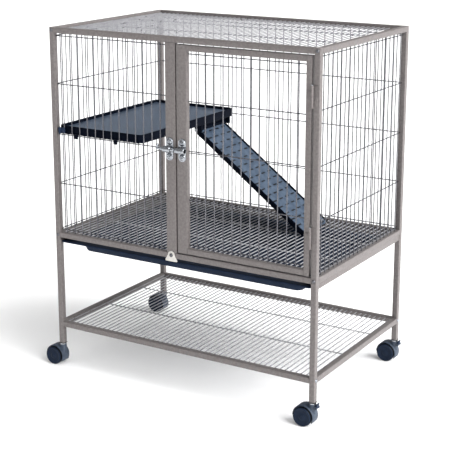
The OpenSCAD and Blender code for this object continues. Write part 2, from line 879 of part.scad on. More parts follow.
// ---------------------------------------------------------------- door

module door_frame() {
    h = door_z1 - door_z0;
    rail_x0 = door_x0 + wide_tube + butt;
    rail_len = door_x1 - tube - butt - rail_x0;
    color(taupe) place() {
        difference() {
            tube_bar([door_x0, 0, door_z0], [wide_tube, tube, h], 2);
            for (s = [-1, 1])
                rod_y([keeper_x, -over, latch_z + s * latch_screw_up], latch_shank_r + slip,
                      tube_wall + 2 * over);
        }
        tube_bar([door_x1 - tube, 0, door_z0], [tube, tube, h], 2);
        for (z = [door_z0, door_z1 - tube])
            tube_bar([rail_x0, 0, z], [rail_len, tube, tube], 0);
    }
}

module door_wires() {
    color(wire_grey) place()
        wall_wires_x(door_x0 + wide_tube, door_x1 - tube, door_z0 + tube, door_z1 - tube, wire_mid, 1);
}

// Knuckle round the hinge axis with the plate that joins it to its tube; side is -1 or 1
module knuckle(z, h, side) {
    difference() {
        union() {
            rod_z([hinge_x, hinge_y, z], knuckle_r, h);
            translate([side < 0 ? hinge_x - leaf_w : hinge_x, -plate_t, z]) cube([leaf_w, plate_t, h]);
        }
        rod_z([hinge_x, hinge_y, z - over], hinge_pin_r + run, h + 2 * over);
    }
}

module door_hinge_leaves() {
    color(taupe) place()
        for (zc = hinge_zs)
            knuckle(zc - knuckle_h + seat, 2 * (knuckle_h - seat), -1);
}

module post_hinge_leaves() {
    plate_x = right_x + leaf_back;
    color(taupe) place()
        for (zc = hinge_zs) {
            for (z = [zc - 2 * knuckle_h, zc + knuckle_h])
                knuckle(z, knuckle_h, 1);
            translate([plate_x, -plate_t, zc - 2 * knuckle_h])
                cube([hinge_x + leaf_w - plate_x, plate_t, 4 * knuckle_h]);
        }
}

module hinge_pins() {
    color(zinc) place()
        for (zc = hinge_zs) {
            rod_z([hinge_x, hinge_y, zc - hinge_h / 2], hinge_pin_r, hinge_h);
            rod_z([hinge_x, hinge_y, zc + hinge_h / 2], pin_head_r, pin_head_t);
        }
}

// ---------------------------------------------------------------- latch

// Plate with two round ears and a hole in each for its screw
module latch_plate(x) {
    up = latch_screw_up;
    difference() {
        translate([x, 0, latch_z]) rotate([90, 0, 0]) linear_extrude(plate_t)
            polygon(concat(arc(0, up, latch_ear_r, 0, 180, 12), arc(0, -up, latch_ear_r, 180, 360, 12)));
        for (s = [-1, 1])
            rod_y([x, -plate_t - over, latch_z + s * up], latch_shank_r + slip, plate_t + 2 * over);
    }
}

// Plate on the divider with the sleeve that the bolt slides in
module latch_housing() {
    color(zinc) place() difference() {
        union() {
            latch_plate(latch_x);
            rod_x([sleeve_x0, -bolt_out, latch_z], sleeve_r, sleeve_len);
        }
        rod_x([sleeve_x0 - over, -bolt_out, latch_z], bolt_r + run, sleeve_len + 2 * over);
    }
}

// Plate on the door, with the shallow groove that its sleeve is brazed into
module latch_keeper() {
    color(zinc) place() difference() {
        latch_plate(keeper_x);
        rod_x([keeper_x0 - over, -bolt_out, latch_z], sleeve_r + butt, keeper_len + 2 * over);
    }
}

module keeper_sleeve() {
    color(zinc) place() difference() {
        rod_x([keeper_x0, -bolt_out, latch_z], sleeve_r, keeper_len);
        rod_x([keeper_x0 - over, -bolt_out, latch_z], bolt_r + keeper_play, keeper_len + 2 * over);
    }
}

module ear_screws(x) {
    for (s = [-1, 1])
        screw_at([x, -plate_t, latch_z + s * latch_screw_up], to_front, latch_head_r, latch_head_h,
                 latch_shank_r, screw_len);
}

module latch_screws() {
    color(zinc) place() ear_screws(latch_x);
}

module keeper_screws() {
    color(zinc) place() ear_screws(keeper_x);
}

// Sliding bolt, drawn out of the keeper, with an upright knob near its tail
module latch_bolt() {
    color(zinc) place() {
        rod_x([bolt_tail_x, -bolt_out, latch_z], tail_r, tail_len);
        rod_x([bolt_tail_x + tail_len, -bolt_out, latch_z], bolt_r, bolt_len - tail_len);
        rod_z([knob_x, -bolt_out, latch_z], knob_stem_r, knob_up);
        translate([knob_x, -bolt_out, latch_z + knob_up]) sphere(r = knob_ball_r);
    }
}

// ---------------------------------------------------------------- casters

module caster_sockets() {
    inset = tube_wall + slip;
    color(dark) place()
        for (c = corners)
            difference() {
                union() {
                    translate([c[0] - flange_out, c[1] - flange_out, leg_z - flange_t])
                        cube([tube + 2 * flange_out, tube + 2 * flange_out, flange_t]);
                    translate([c[0] + inset, c[1] + inset, leg_z - flange_t / 2])
                        cube([plug_w, plug_w, socket_len]);
                }
                rod_z([c[0] + wire_mid, c[1] + wire_mid, leg_z - flange_t - over], stem_top_r + run,
                      socket_len + flange_t + 2 * over);
            }
}

module caster_stems() {
    ring_z0 = boss_top + seat;
    ring_z1 = leg_z - flange_t;
    color(zinc) place()
        for (s = stems) {
            rod_z([s[0], s[1], boss_top - pin_depth], stem_pin_r, pin_depth + seat);
            rod_z([s[0], s[1], ring_z0], ring_r, ring_z1 - ring_z0);
            rod_z([s[0], s[1], ring_z1], stem_top_r, socket_len);
        }
}

// Hood of a caster, with its stem at X = 0, Y = 0 and its axle at X = -caster_trail
module hood_body(brake) {
    axle_x = -caster_trail;
    wedge = [[0, 0], [2 * hood_r * cos(hood_open), 2 * hood_r * sin(hood_open)], [3 * hood_r, 3 * hood_r],
             [-3 * hood_r, 3 * hood_r], [-3 * hood_r, -1]];
    difference() {
        union() {
            intersection() {
                rod_y([axle_x, -hood_half, wheel_r], hood_r, 2 * hood_half);
                translate([axle_x, hood_half + over, wheel_r]) rotate([90, 0, 0])
                    linear_extrude(2 * (hood_half + over)) polygon(wedge);
            }
            rod_y([axle_x, -web_half, wheel_r], hood_web_r, web_t);
            rod_z([0, 0, boss_z], boss_r, boss_top - boss_z);
            if (brake)
                for (y = [-ear_out, ear_in])
                    translate([pedal_ear_x[0], y, pedal_z - pedal_ear_h / 2])
                        cube([pedal_ear_x[1] - pedal_ear_x[0], ear_out - ear_in, pedal_ear_h]);
        }
        for (y = [-hood_half - over, web_half])
            rod_y([axle_x, y, wheel_r], wheel_r + hood_gap, hood_half - web_half + over);
        rod_y([axle_x, -web_half - over, wheel_r], axle_r + run, web_t + 2 * over);
        rod_z([0, 0, boss_top - pin_depth - 0.5], stem_pin_r + run, pin_depth + 0.5 + over);
        if (brake)
            rod_y([pedal_x, -ear_out - over, pedal_z], trunnion_r + run, 2 * (ear_out + over));
    }
}

module hood(i, brake) {
    color(navy) place() translate([stems[i][0], stems[i][1], 0]) hood_body(brake);
}

// One wheel: a tread with eased edges, a dished outer face and a hub
module wheel_body() {
    rotate([-90, 0, 0]) rotate_extrude() polygon([
        [wheel_bore_r, 0], [wheel_r - tread_r, 0], [wheel_r, tread_r], [wheel_r, wheel_w - face_round],
        [wheel_r - face_round, wheel_w], [wheel_r - face_rim, wheel_w],
        [wheel_r - face_rim - face_step, wheel_w - face_step],
        [hub_r + face_step, wheel_w - 2 * face_step], [hub_r, wheel_w - hub_in],
        [wheel_bore_r, wheel_w - hub_in]]);
}

module wheels(i) {
    color(navy) place()
        translate([stems[i][0] - caster_trail, stems[i][1], wheel_r])
            for (m = [0, 1])
                mirror([0, m, 0]) translate([0, wheel_in, 0]) wheel_body();
}

module axle(i) {
    len = 2 * (wheel_out - 1);
    color(zinc) place()
        rod_y([stems[i][0] - caster_trail, stems[i][1] - len / 2, wheel_r], axle_r, len);
}

// Brake pedal: a hub with trunnions between the hood's ears, and a plate that rises outwards
module brake(i) {
    half = ear_in - seat;
    reach = brake_reach - pedal_x;
    color(navy) place() translate([stems[i][0] + pedal_x, stems[i][1], pedal_z]) {
        rod_y([0, -ear_out, 0], trunnion_r, 2 * ear_out);
        rod_y([0, -half, 0], pedal_hub_r, 2 * half);
        translate([0, half, 0]) rotate([90, 0, 0]) linear_extrude(2 * half)
            polygon([[-pedal_t / 2, 0], [pedal_t / 2, 0],
                     [reach, pedal_rise], [reach - pedal_t, pedal_rise]]);
    }
}

module left_front_hood() {
    hood(0, false);
}

module right_front_hood() {
    hood(1, true);
}

module left_back_hood() {
    hood(2, false);
}

module right_back_hood() {
    hood(3, true);
}

module left_front_wheels() {
    wheels(0);
}

module right_front_wheels() {
    wheels(1);
}

module left_back_wheels() {
    wheels(2);
}

module right_back_wheels() {
    wheels(3);
}

module left_front_axle() {
    axle(0);
}

module right_front_axle() {
    axle(1);
}

module left_back_axle() {
    axle(2);
}

module right_back_axle() {
    axle(3);
}

module right_front_brake() {
    brake(1);
}

module right_back_brake() {
    brake(3);
}

front_frame();
back_frame();
left_side_rails();
right_side_rails();
front_wires();
back_wires();
left_side_wires();
right_side_wires();
top_grille();
floor_grille();
left_front_leg();
right_front_leg();
left_back_leg();
right_back_leg();
leg_joiners();
post_caps();
rail_plugs();
frame_bolts();
shelf_frame();
shelf_wires();
shelf_bolts();
tray_runners();
tray_stop();
tray();
tray_guard();
tray_guard_pivot();
platform();
platform_knob();
ramp();
ramp_pin();
door_frame();
door_wires();
door_hinge_leaves();
post_hinge_leaves();
hinge_pins();
latch_housing();
latch_screws();
latch_bolt();
latch_keeper();
keeper_sleeve();
keeper_screws();
caster_sockets();
caster_stems();
left_front_hood();
left_front_wheels();
left_front_axle();
right_front_hood();
right_front_wheels();
right_front_axle();
left_back_hood();
left_back_wheels();
left_back_axle();
right_back_hood();
right_back_wheels();
right_back_axle();
right_front_brake();
right_back_brake();
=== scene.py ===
"""Looks of a wheeled ferret cage: square tubes, welded wires, moulded plastic and zinc fittings.

Every shape is worked out in millimetres from the cage's left front corner, as the part's source
does, and is moved into the shared frame, in metres, when its mesh is made.
"""
import logging
import math
from dataclasses import dataclass
from enum import Enum
from typing import Sequence

import bmesh
import bpy
import numpy as np
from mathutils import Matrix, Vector


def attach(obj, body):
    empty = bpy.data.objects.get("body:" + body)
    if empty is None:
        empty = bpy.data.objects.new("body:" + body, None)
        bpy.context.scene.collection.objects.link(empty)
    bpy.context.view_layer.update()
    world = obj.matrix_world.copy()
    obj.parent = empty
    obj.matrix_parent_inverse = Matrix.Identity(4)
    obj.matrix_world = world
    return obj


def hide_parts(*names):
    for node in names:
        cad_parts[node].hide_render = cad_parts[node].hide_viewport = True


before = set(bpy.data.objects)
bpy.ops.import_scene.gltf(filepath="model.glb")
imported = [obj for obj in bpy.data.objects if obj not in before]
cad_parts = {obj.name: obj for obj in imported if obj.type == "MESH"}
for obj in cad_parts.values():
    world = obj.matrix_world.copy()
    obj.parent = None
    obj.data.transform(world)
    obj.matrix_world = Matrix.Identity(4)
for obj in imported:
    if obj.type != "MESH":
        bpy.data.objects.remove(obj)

logging.basicConfig(level=logging.INFO, format="%(message)s")
log = logging.getLogger("ferret_cage")

Vec = Sequence[float]  # a short row of numbers, such as a point or a range

ORIGIN = np.array([377.0, 252.475, 0.0])
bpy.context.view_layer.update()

TUBE_WALL = 1.0
TUBE_CORNER = 1.9
TUBE_EASE = 0.25
WIRE_SIDES = 10
LOOP_STEPS = 8
WELD_DISTANCE = 2e-6
SHARP_ANGLE = math.radians(40)
SENSOR_MM = 36.0


# ---- shapes


class Axis(Enum):
    """Direction that a bar, rod or turned piece runs along."""

    X = 0
    Y = 1
    Z = 2

    @property
    def round(self) -> list[int]:
        """The other two axes, in the order of a right-handed turn about this one."""
        return [(self.value + 1) % 3, (self.value + 2) % 3]

    @property
    def flat(self) -> list[int]:
        """The other two axes in alphabetical order, as the columns of an outline."""
        return sorted(self.round)


@dataclass
class Shell:
    """A surface as vertices in millimetres and faces as lists of vertex numbers."""

    verts: np.ndarray
    faces: list[list[int]]

    def moved(self, by: Vec) -> "Shell":
        """Returns a copy that is shifted by a vector."""
        return Shell(self.verts + np.asarray(by, float), self.faces)

    def turned(self, axis: Axis, degrees: float, about: Vec) -> "Shell":
        """Turns the surface about a line.

        Args:
            axis: Direction of the line.
            degrees: Angle by the right-hand rule.
            about: A point on the line.

        Returns:
            A turned copy.
        """
        a, b = axis.round
        c, s = math.cos(math.radians(degrees)), math.sin(math.radians(degrees))
        local = self.verts - np.asarray(about, float)
        out = local.copy()
        out[:, a] = c * local[:, a] - s * local[:, b]
        out[:, b] = s * local[:, a] + c * local[:, b]
        return Shell(out + np.asarray(about, float), self.faces)


def join(shells: Sequence[Shell]) -> Shell:
    """Puts several surfaces into one, with their faces renumbered."""
    faces: list[list[int]] = []
    start = 0
    for shell in shells:
        faces.extend([[k + start for k in face] for face in shell.faces])
        start += len(shell.verts)
    return Shell(np.concatenate([shell.verts for shell in shells]), faces)


def points(x: float | np.ndarray, y: float | np.ndarray, z: float | np.ndarray) -> np.ndarray:
    """Rows of X, Y and Z, in which a single number stands for every row."""
    return np.stack(np.broadcast_arrays(x, y, z), axis=-1)


def circle(sides: int) -> np.ndarray:
    """Unit circle, as one row of cos t and sin t for each of its points."""
    t = np.linspace(0, 2 * np.pi, sides, endpoint=False)
    return np.stack([np.cos(t), np.sin(t)], axis=1)


def grid_quads(rows: int, cols: int, wrap_rows: bool, wrap_cols: bool) -> np.ndarray:
    """Quads between neighbouring points of a rows by cols grid, closed round where asked."""
    i = np.arange(rows if wrap_rows else rows - 1)[:, None]
    j = np.arange(cols if wrap_cols else cols - 1)[None, :]
    i2, j2 = (i + 1) % rows, (j + 1) % cols
    quads = np.stack([i * cols + j, i * cols + j2, i2 * cols + j2, i2 * cols + j], axis=-1)
    return quads.reshape(-1, 4)


def loft(loops: np.ndarray, ring: bool = False) -> Shell:
    """Skins a stack of closed loops: the surface runs straight from each loop to the next.

    Args:
        loops: Array of loops by points by three.
        ring: True joins the last loop to the first. Otherwise both end loops get a cap.

    Returns:
        A closed surface.
    """
    rows, cols = loops.shape[:2]
    faces = grid_quads(rows, cols, ring, True).tolist()
    if not ring:
        faces.append(list(range(cols))[::-1])
        faces.append(list(range((rows - 1) * cols, rows * cols)))
    return Shell(loops.reshape(-1, 3), faces)


def rounded_outline(low: Vec, high: Vec, r: float, steps: int = 4) -> np.ndarray:
    """Outline of a rectangle whose corners are arcs: centre + r (cos t, sin t) for each quarter."""
    x0, y0, x1, y1 = low[0], low[1], high[0], high[1]
    centres = np.array([[x1 - r, y0 + r], [x1 - r, y1 - r], [x0 + r, y1 - r], [x0 + r, y0 + r]])
    t = np.radians(-90 + 90 * np.arange(4)[:, None] + np.linspace(0, 90, steps + 1)[None, :])
    arcs = centres[:, None, :] + r * np.stack([np.cos(t), np.sin(t)], axis=-1)
    return arcs.reshape(-1, 2)


def shrunk(outline: np.ndarray, inset: float) -> np.ndarray:
    """Moves each point of an outline inwards by inset along the mean normal of its two edges."""
    back = outline - np.roll(outline, 1, axis=0)
    ahead = np.roll(outline, -1, axis=0) - outline
    lengths = [np.maximum(np.linalg.norm(e, axis=1, keepdims=True), 1e-9) for e in (back, ahead)]
    n1, n2 = [np.stack([-e[:, 1], e[:, 0]], axis=1) / q for e, q in zip((back, ahead), lengths)]
    mean = n1 + n2
    scale = 2 * inset / np.maximum(np.sum(mean * mean, axis=1, keepdims=True), 0.5)
    area = np.sum(outline[:, 0] * np.roll(outline[:, 1], -1) - outline[:, 1] * np.roll(outline[:, 0], -1))
    return outline + mean * scale * math.copysign(1, area)


def lifted(outline: np.ndarray, level: float, axis: Axis) -> np.ndarray:
    """Puts a flat outline square to an axis at a level along it."""
    out = np.full((len(outline), 3), float(level))
    out[:, axis.flat] = outline
    return out


def inset_loop(low: Vec, high: Vec, inset: Vec, r: float, z: float) -> np.ndarray:
    """Level rounded rectangle at height z, drawn in by one amount along X and one along Y."""
    outline = rounded_outline(np.add(low, inset), np.subtract(high, inset), r, LOOP_STEPS)
    return lifted(outline, z, Axis.Z)


def slab(outline: np.ndarray, start: float, end: float, axis: Axis, ease: float) -> Shell:
    """Extrudes an outline along an axis, with both edges eased by a quarter round of radius ease."""
    t = np.radians([0, 45, 90])
    inset = ease * (1 - np.sin(t))
    rise = ease * (1 - np.cos(t))
    loops = [lifted(shrunk(outline, d), start + h, axis) for d, h in zip(inset, rise)]
    loops += [lifted(shrunk(outline, d), end - h, axis) for d, h in zip(inset[::-1], rise[::-1])]
    return loft(np.array(loops))


def block(low: Vec, high: Vec, r: float) -> Shell:
    """Box from its low to its high corner, with all its edges rounded to radius r."""
    outline = rounded_outline(low[:2], high[:2], r, 2)
    return slab(outline, low[2], high[2], Axis.Z, r * 0.8)


def tube(pos: Vec, size: Vec, axis: Axis) -> Shell:
    """Hollow square tube with rounded corners: outer and inner outline, skinned as one ring.

    Args:
        pos: Low corner.
        size: Extent along X, Y and Z.
        axis: Direction of the tube's length.

    Returns:
        The tube's closed surface.
    """
    low = np.asarray(pos, float)
    high = low + np.asarray(size, float)
    outer = rounded_outline(low[axis.flat], high[axis.flat], TUBE_CORNER)
    inner = rounded_outline(low[axis.flat] + TUBE_WALL, high[axis.flat] - TUBE_WALL, TUBE_CORNER - TUBE_WALL)
    start, end, eased = low[axis.value], high[axis.value], shrunk(outer, TUBE_EASE)
    loops = [lifted(eased, start, axis), lifted(outer, start + TUBE_EASE, axis),
             lifted(outer, end - TUBE_EASE, axis), lifted(eased, end, axis),
             lifted(inner, end, axis), lifted(inner, start, axis)]
    return loft(np.array(loops), ring=True)


def turned_piece(profile: Sequence[Vec], axis: Axis, centre: Vec, sides: int, ring: bool = False) -> Shell:
    """Turns a profile of (radius, height) points about an axis: point = centre + r (cos t, sin t) + h.

    Args:
        profile: Points from one end of the piece to the other.
        axis: Axis that the piece is turned about.
        centre: Point where radius and height are nought.
        sides: Points round the axis.
        ring: True joins the profile's end to its start, for a piece with a bore.

    Returns:
        The turned surface.
    """
    steps = np.asarray(profile, float)[:, None, :]
    loops = np.zeros((len(steps), sides, 3))
    loops[:, :, axis.round] = steps[:, :, :1] * circle(sides)
    loops[:, :, axis.value] = steps[:, :, 1]
    return loft(loops + np.asarray(centre, float), ring)


def sleeve(bore: float, r: float, length: float, ease: float, axis: Axis, start: Vec, sides: int) -> Shell:
    """Round sleeve with a bore and eased ends, from its start along an axis."""
    profile = [(bore, 0), (r - ease, 0), (r, ease), (r, length - ease), (r - ease, length), (bore, length)]
    return turned_piece(profile, axis, start, sides, ring=True)


def pin(r: float, low: float, high: float, axis: Axis, centre: Vec, sides: int) -> Shell:
    """Plain round pin, from low to high along an axis."""
    return turned_piece([(0, low), (r, low), (r, high), (0, high)], axis, centre, sides)


def rods(starts: np.ndarray, length: float, r: float, axis: Axis) -> Shell:
    """Many equal round rods in one surface, each with slightly rounded ends.

    Args:
        starts: One row of X, Y and Z for each rod's start.
        length: Length of every rod.
        r: Radius.
        axis: Direction of the rods.

    Returns:
        All the rods.
    """
    tip = 0.7 * r
    profile = [(tip, 0), (r, 0.3 * r), (r, length - 0.3 * r), (tip, length)]
    one = turned_piece(profile, axis, (0, 0, 0), WIRE_SIDES)
    return join([one.moved(start) for start in starts])


def arc(x: float, y: float, r: float, start: float, end: float, steps: int) -> np.ndarray:
    """Points on an arc about (x, y) from the start angle to the end angle, in degrees."""
    t = np.radians(np.linspace(start, end, steps + 1))
    return np.stack([x + r * np.cos(t), y + r * np.sin(t)], axis=1)


# ---- finishes


TONE_STOPS = (0.3, 0.7)
SLOW_DETAIL, FINE_DETAIL = 3.0, 2.0
RELIEF_HEIGHT = 0.001


def fill(node: bpy.types.Node, values: dict[str, object]) -> None:
    """Sets constants on a node's sockets."""
    for socket, value in values.items():
        node.inputs[socket].default_value = value


@dataclass(frozen=True)
class Finish:
    """A procedural surface: slow mottling of two tones, a fine relief and uneven gloss.

    Mottle and grain are the sizes of its features in millimetres, and light and deep its two tones.
    The pattern follows Object coordinates, so it stays on the piece.
    """

    name: str
    slot: str
    light: Vec
    deep: Vec
    metallic: float
    roughness: float
    mottle: float
    grain: float
    relief: float
    gloss_range: float = 0.08
    sheen_level: float = 0.5

    def nodes(self) -> tuple[bpy.types.Material, bpy.types.NodeTree, bpy.types.Node]:
        """Makes the material with its colour, gloss and relief nodes.

        Returns:
            The material, its node tree and its surface shader.
        """
        material = bpy.data.materials.new(self.name)
        material.use_nodes = True
        tree = material.node_tree
        new, link = tree.nodes.new, tree.links.new
        tree.nodes.clear()
        out = new("ShaderNodeOutputMaterial")
        skin = new("ShaderNodeBsdfPrincipled")
        fill(skin, {"Metallic": self.metallic, "Specular IOR Level": self.sheen_level})
        link(skin.outputs["BSDF"], out.inputs["Surface"])
        place = new("ShaderNodeTexCoord").outputs["Object"]
        slow = self.noise(tree, place, self.mottle, SLOW_DETAIL)
        tone = new("ShaderNodeValToRGB")
        for stop, at, colour in zip(tone.color_ramp.elements, TONE_STOPS, (self.deep, self.light)):
            stop.position, stop.color = at, (*colour, 1)
        link(slow.outputs["Fac"], tone.inputs["Fac"])
        link(tone.outputs["Color"], skin.inputs["Base Color"])
        fine = self.noise(tree, place, self.grain, FINE_DETAIL)
        gloss = new("ShaderNodeMapRange")
        fill(gloss, {"To Min": self.roughness - self.gloss_range, "To Max": self.roughness + self.gloss_range})
        link(slow.outputs["Fac"], gloss.inputs["Value"])
        link(gloss.outputs["Result"], skin.inputs["Roughness"])
        bump = new("ShaderNodeBump")
        fill(bump, {"Strength": self.relief, "Distance": RELIEF_HEIGHT})
        link(fine.outputs["Fac"], bump.inputs["Height"])
        link(bump.outputs["Normal"], skin.inputs["Normal"])
        return material, tree, skin

    @staticmethod
    def noise(tree: bpy.types.NodeTree, place: bpy.types.NodeSocket, size: float,
              detail: float) -> bpy.types.Node:
        """Adds a noise whose features are about size millimetres across."""
        node = tree.nodes.new("ShaderNodeTexNoise")
        fill(node, {"Scale": 1000.0 / size, "Detail": detail})
        tree.links.new(place, node.inputs["Vector"])
        return node

    def material(self) -> bpy.types.Material:
        """Returns the finish's material, made once."""
        return bpy.data.materials.get(self.name) or self.nodes()[0]


POWDER_COAT = Finish(
    "taupe_powder_coat", "frame_paint", (0.192, 0.174, 0.170), (0.132, 0.118, 0.116),
    0.35, 0.42, mottle=6.0, grain=0.9, relief=0.22)
CAP_PLASTIC = Finish(
    "taupe_cap_plastic", "cap_plastic", (0.235, 0.214, 0.208), (0.200, 0.182, 0.178),
    0.0, 0.45, mottle=12.0, grain=0.5, relief=0.06)
# One wire coat at three brightnesses: the deck and floor wires are painted lighter than the wall wires, as
# painted light on the level grilles.
WALL_WIRE = Finish(
    "bright_wall_wire", "wire_coat", (0.16, 0.16, 0.175), (0.10, 0.10, 0.115),
    0.78, 0.24, mottle=18.0, grain=0.8, relief=0.08)
LIT_DECK_WIRE = Finish(
    "painted_light_deck_wire", "wire_coat", (0.36, 0.36, 0.38), (0.24, 0.24, 0.26),
    0.6, 0.30, mottle=18.0, grain=0.8, relief=0.08)
LIT_FLOOR_WIRE = Finish(
    "painted_light_floor_wire", "wire_coat", (0.52, 0.52, 0.54), (0.38, 0.38, 0.40),
    0.4, 0.32, mottle=18.0, grain=0.8, relief=0.08)
NAVY_PLASTIC = Finish(
    "navy_moulded_plastic", "caster_plastic", (0.014, 0.026, 0.054), (0.009, 0.017, 0.038),
    0.0, 0.36, mottle=22.0, grain=0.6, relief=0.07, sheen_level=0.15)
# The same navy caster plastic as the clamp and pedal, painted lighter on the hood: painted light.
LIT_HOOD_PLASTIC = Finish(
    "painted_light_hood_plastic", "caster_plastic", (0.040, 0.058, 0.088), (0.018, 0.028, 0.048),
    0.0, 0.50, mottle=7.0, grain=0.6, relief=0.1)
TRAY_PLASTIC = Finish(
    "navy_tray_plastic", "tray_plastic", (0.012, 0.022, 0.046), (0.008, 0.014, 0.030),
    0.0, 0.44, mottle=40.0, grain=0.7, relief=0.08, sheen_level=0.06)
# The platform's slate plastic painted near black on the rim, hooks, ramp hanger and ramp sides: painted shade.
SHADED_RIM_PLASTIC = Finish(
    "painted_shade_rim_plastic", "platform_plastic", (0.003, 0.005, 0.011), (0.002, 0.003, 0.007),
    0.0, 0.40, mottle=30.0, grain=0.7, relief=0.06, sheen_level=0.02)
DECK_PLASTIC = Finish(
    "slate_deck_plastic", "platform_plastic", (0.074, 0.103, 0.150), (0.047, 0.068, 0.104),
    0.0, 0.40, mottle=26.0, grain=0.8, relief=0.14, sheen_level=0.35)
DARK_PLASTIC = Finish(
    "dark_insert_plastic", "dark_plastic", (0.022, 0.022, 0.025), (0.014, 0.014, 0.016),
    0.0, 0.5, mottle=10.0, grain=0.5, relief=0.06)
ZINC = Finish(
    "bright_zinc", "zinc", (0.46, 0.48, 0.51), (0.22, 0.235, 0.26),
    1.0, 0.22, mottle=4.0, grain=0.5, relief=0.05, gloss_range=0.12)
DARK_STEEL = Finish(
    "dark_bolt_steel", "dark_bolt", (0.16, 0.16, 0.17), (0.09, 0.09, 0.10),
    0.9, 0.36, mottle=3.0, grain=0.4, relief=0.06)
SATIN_STEEL = Finish(
    "satin_flap_steel", "zinc", (0.66, 0.64, 0.60), (0.56, 0.54, 0.51),
    0.35, 0.45, mottle=6.0, grain=0.5, relief=0.05)


@dataclass(frozen=True)
class PaintedShadeFinish(Finish):
    """The same surface, with painted shade: its colour is mixed to near black where a vertex attribute asks for
    it.
    """

    # Near-black colour of the painted shade.
    groove: Vec = (0.001, 0.002, 0.004)

    def nodes(self) -> tuple[bpy.types.Material, bpy.types.NodeTree, bpy.types.Node]:
        """Makes the same nodes, and mixes the colour to the painted shade's near black by the attribute."""
        material, tree, skin = super().nodes()
        tone = skin.inputs["Base Color"].links[0].from_socket
        # The attribute carries how much painted shade each vertex gets.
        depth = tree.nodes.new("ShaderNodeAttribute")
        depth.attribute_name = "groove"
        mix = tree.nodes.new("ShaderNodeMix")
        mix.data_type = "RGBA"
        fill(mix, {"B": (*self.groove, 1)})
        tree.links.new(depth.outputs["Fac"], mix.inputs["Factor"])
        tree.links.new(tone, mix.inputs["A"])
        tree.links.new(mix.outputs["Result"], skin.inputs["Base Color"])
        return material, tree, skin


# Its grooves are mixed to near black: painted shade in the recesses.
TREAD_PLASTIC = PaintedShadeFinish(
    "slate_tread_plastic", "ramp_plastic", (0.074, 0.104, 0.150),
    (0.036, 0.056, 0.088), 0.0, 0.40, mottle=16.0, grain=0.8, relief=0.12, sheen_level=0.3)
# Its outer band is mixed to near black: painted shade for the shadowed gap between the wheels and the hood.
WHEEL_TREAD = PaintedShadeFinish(
    "navy_wheel_tread", "wheel_tread", (0.013, 0.022, 0.042),
    (0.009, 0.015, 0.030), 0.0, 0.38, mottle=14.0, grain=0.5, relief=0.08, sheen_level=0.08)


def put(name: str, data: bpy.types.ID) -> bpy.types.Object:
    """Adds an object to the scene, at the origin."""
    thing = bpy.data.objects.new(name, data)
    bpy.context.scene.collection.objects.link(thing)
    return thing


def add_piece(name: str, shell: Shell, finish: Finish, body: str, replaces: Sequence[str] = (),
              groove: np.ndarray | None = None) -> None:
    """Makes a surface into a piece of the object.

    Args:
        name: The piece's name.
        shell: Its surface in millimetres.
        finish: Its finish.
        body: The body that it rides on.
        replaces: The CAD nodes that it stands for.
        groove: One value per vertex: how much near-black painted shade is mixed into the finish's colour there.
    """
    mesh = bpy.data.meshes.new(name)
    mesh.from_pydata(((shell.verts - ORIGIN) / 1000).tolist(), [], shell.faces)
    if groove is not None:
        layer = mesh.attributes.new("groove", "FLOAT", "POINT")
        layer.data.foreach_set("value", np.asarray(groove, np.float32))
    work = bmesh.new()
    work.from_mesh(mesh)
    bmesh.ops.remove_doubles(work, verts=work.verts, dist=WELD_DISTANCE)
    bmesh.ops.recalc_face_normals(work, faces=work.faces)
    work.to_mesh(mesh)
    work.free()
    mesh.shade_smooth()
    mesh.set_sharp_from_angle(angle=SHARP_ANGLE)
    piece = put(name, mesh)
    mesh.materials.append(finish.material())
    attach(piece, body)
    if replaces:
        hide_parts(*replaces)
    log.info("%s: %d faces on %s", name, len(mesh.polygons), body)


def dress(node: str, finish: Finish) -> None:
    """Gives a CAD node that stays in sight its finish."""
    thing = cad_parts[node]
    if not thing.material_slots:
        thing.data.materials.append(None)
    for place in thing.material_slots:
        place.material = finish.material()
    log.info("%s: finish %s", node, finish.name)


# ---- sub-assemblies


@dataclass(frozen=True)
class CageSizes:
    """Main sizes of the cage, shared by its sub-assemblies."""

    width: float = 787.0
    depth: float = 508.0
    low: float = 365.0
    top: float = 930.0
    square: float = 15.0
    divider_x: float = 360.0
    wide: float = 30.0
    leg_z: float = 63.0
    shelf_z: float = 111.0
    butt: float = 0.05
    wire_r: float = 1.4
    crossing: float = 2.5
    edge_wire: float = 7.5
    deck_edge: float = 3.5
    front_pitch: float = 25.4
    side_pitch: float = 23.05
    deck_pitch: float = 14.7
    floor_up: float = 12.5
    shelf_wire_down: float = 4.0

    @property
    def right_x(self) -> float:
        """Left face of the right posts."""
        return self.width - self.square

    @property
    def back_y(self) -> float:
        """Front face of the back posts."""
        return self.depth - self.square

    @property
    def sill(self) -> float:
        """Top of the bottom rails."""
        return self.low + self.square

    @property
    def head(self) -> float:
        """Underside of the top rails."""
        return self.top - self.square


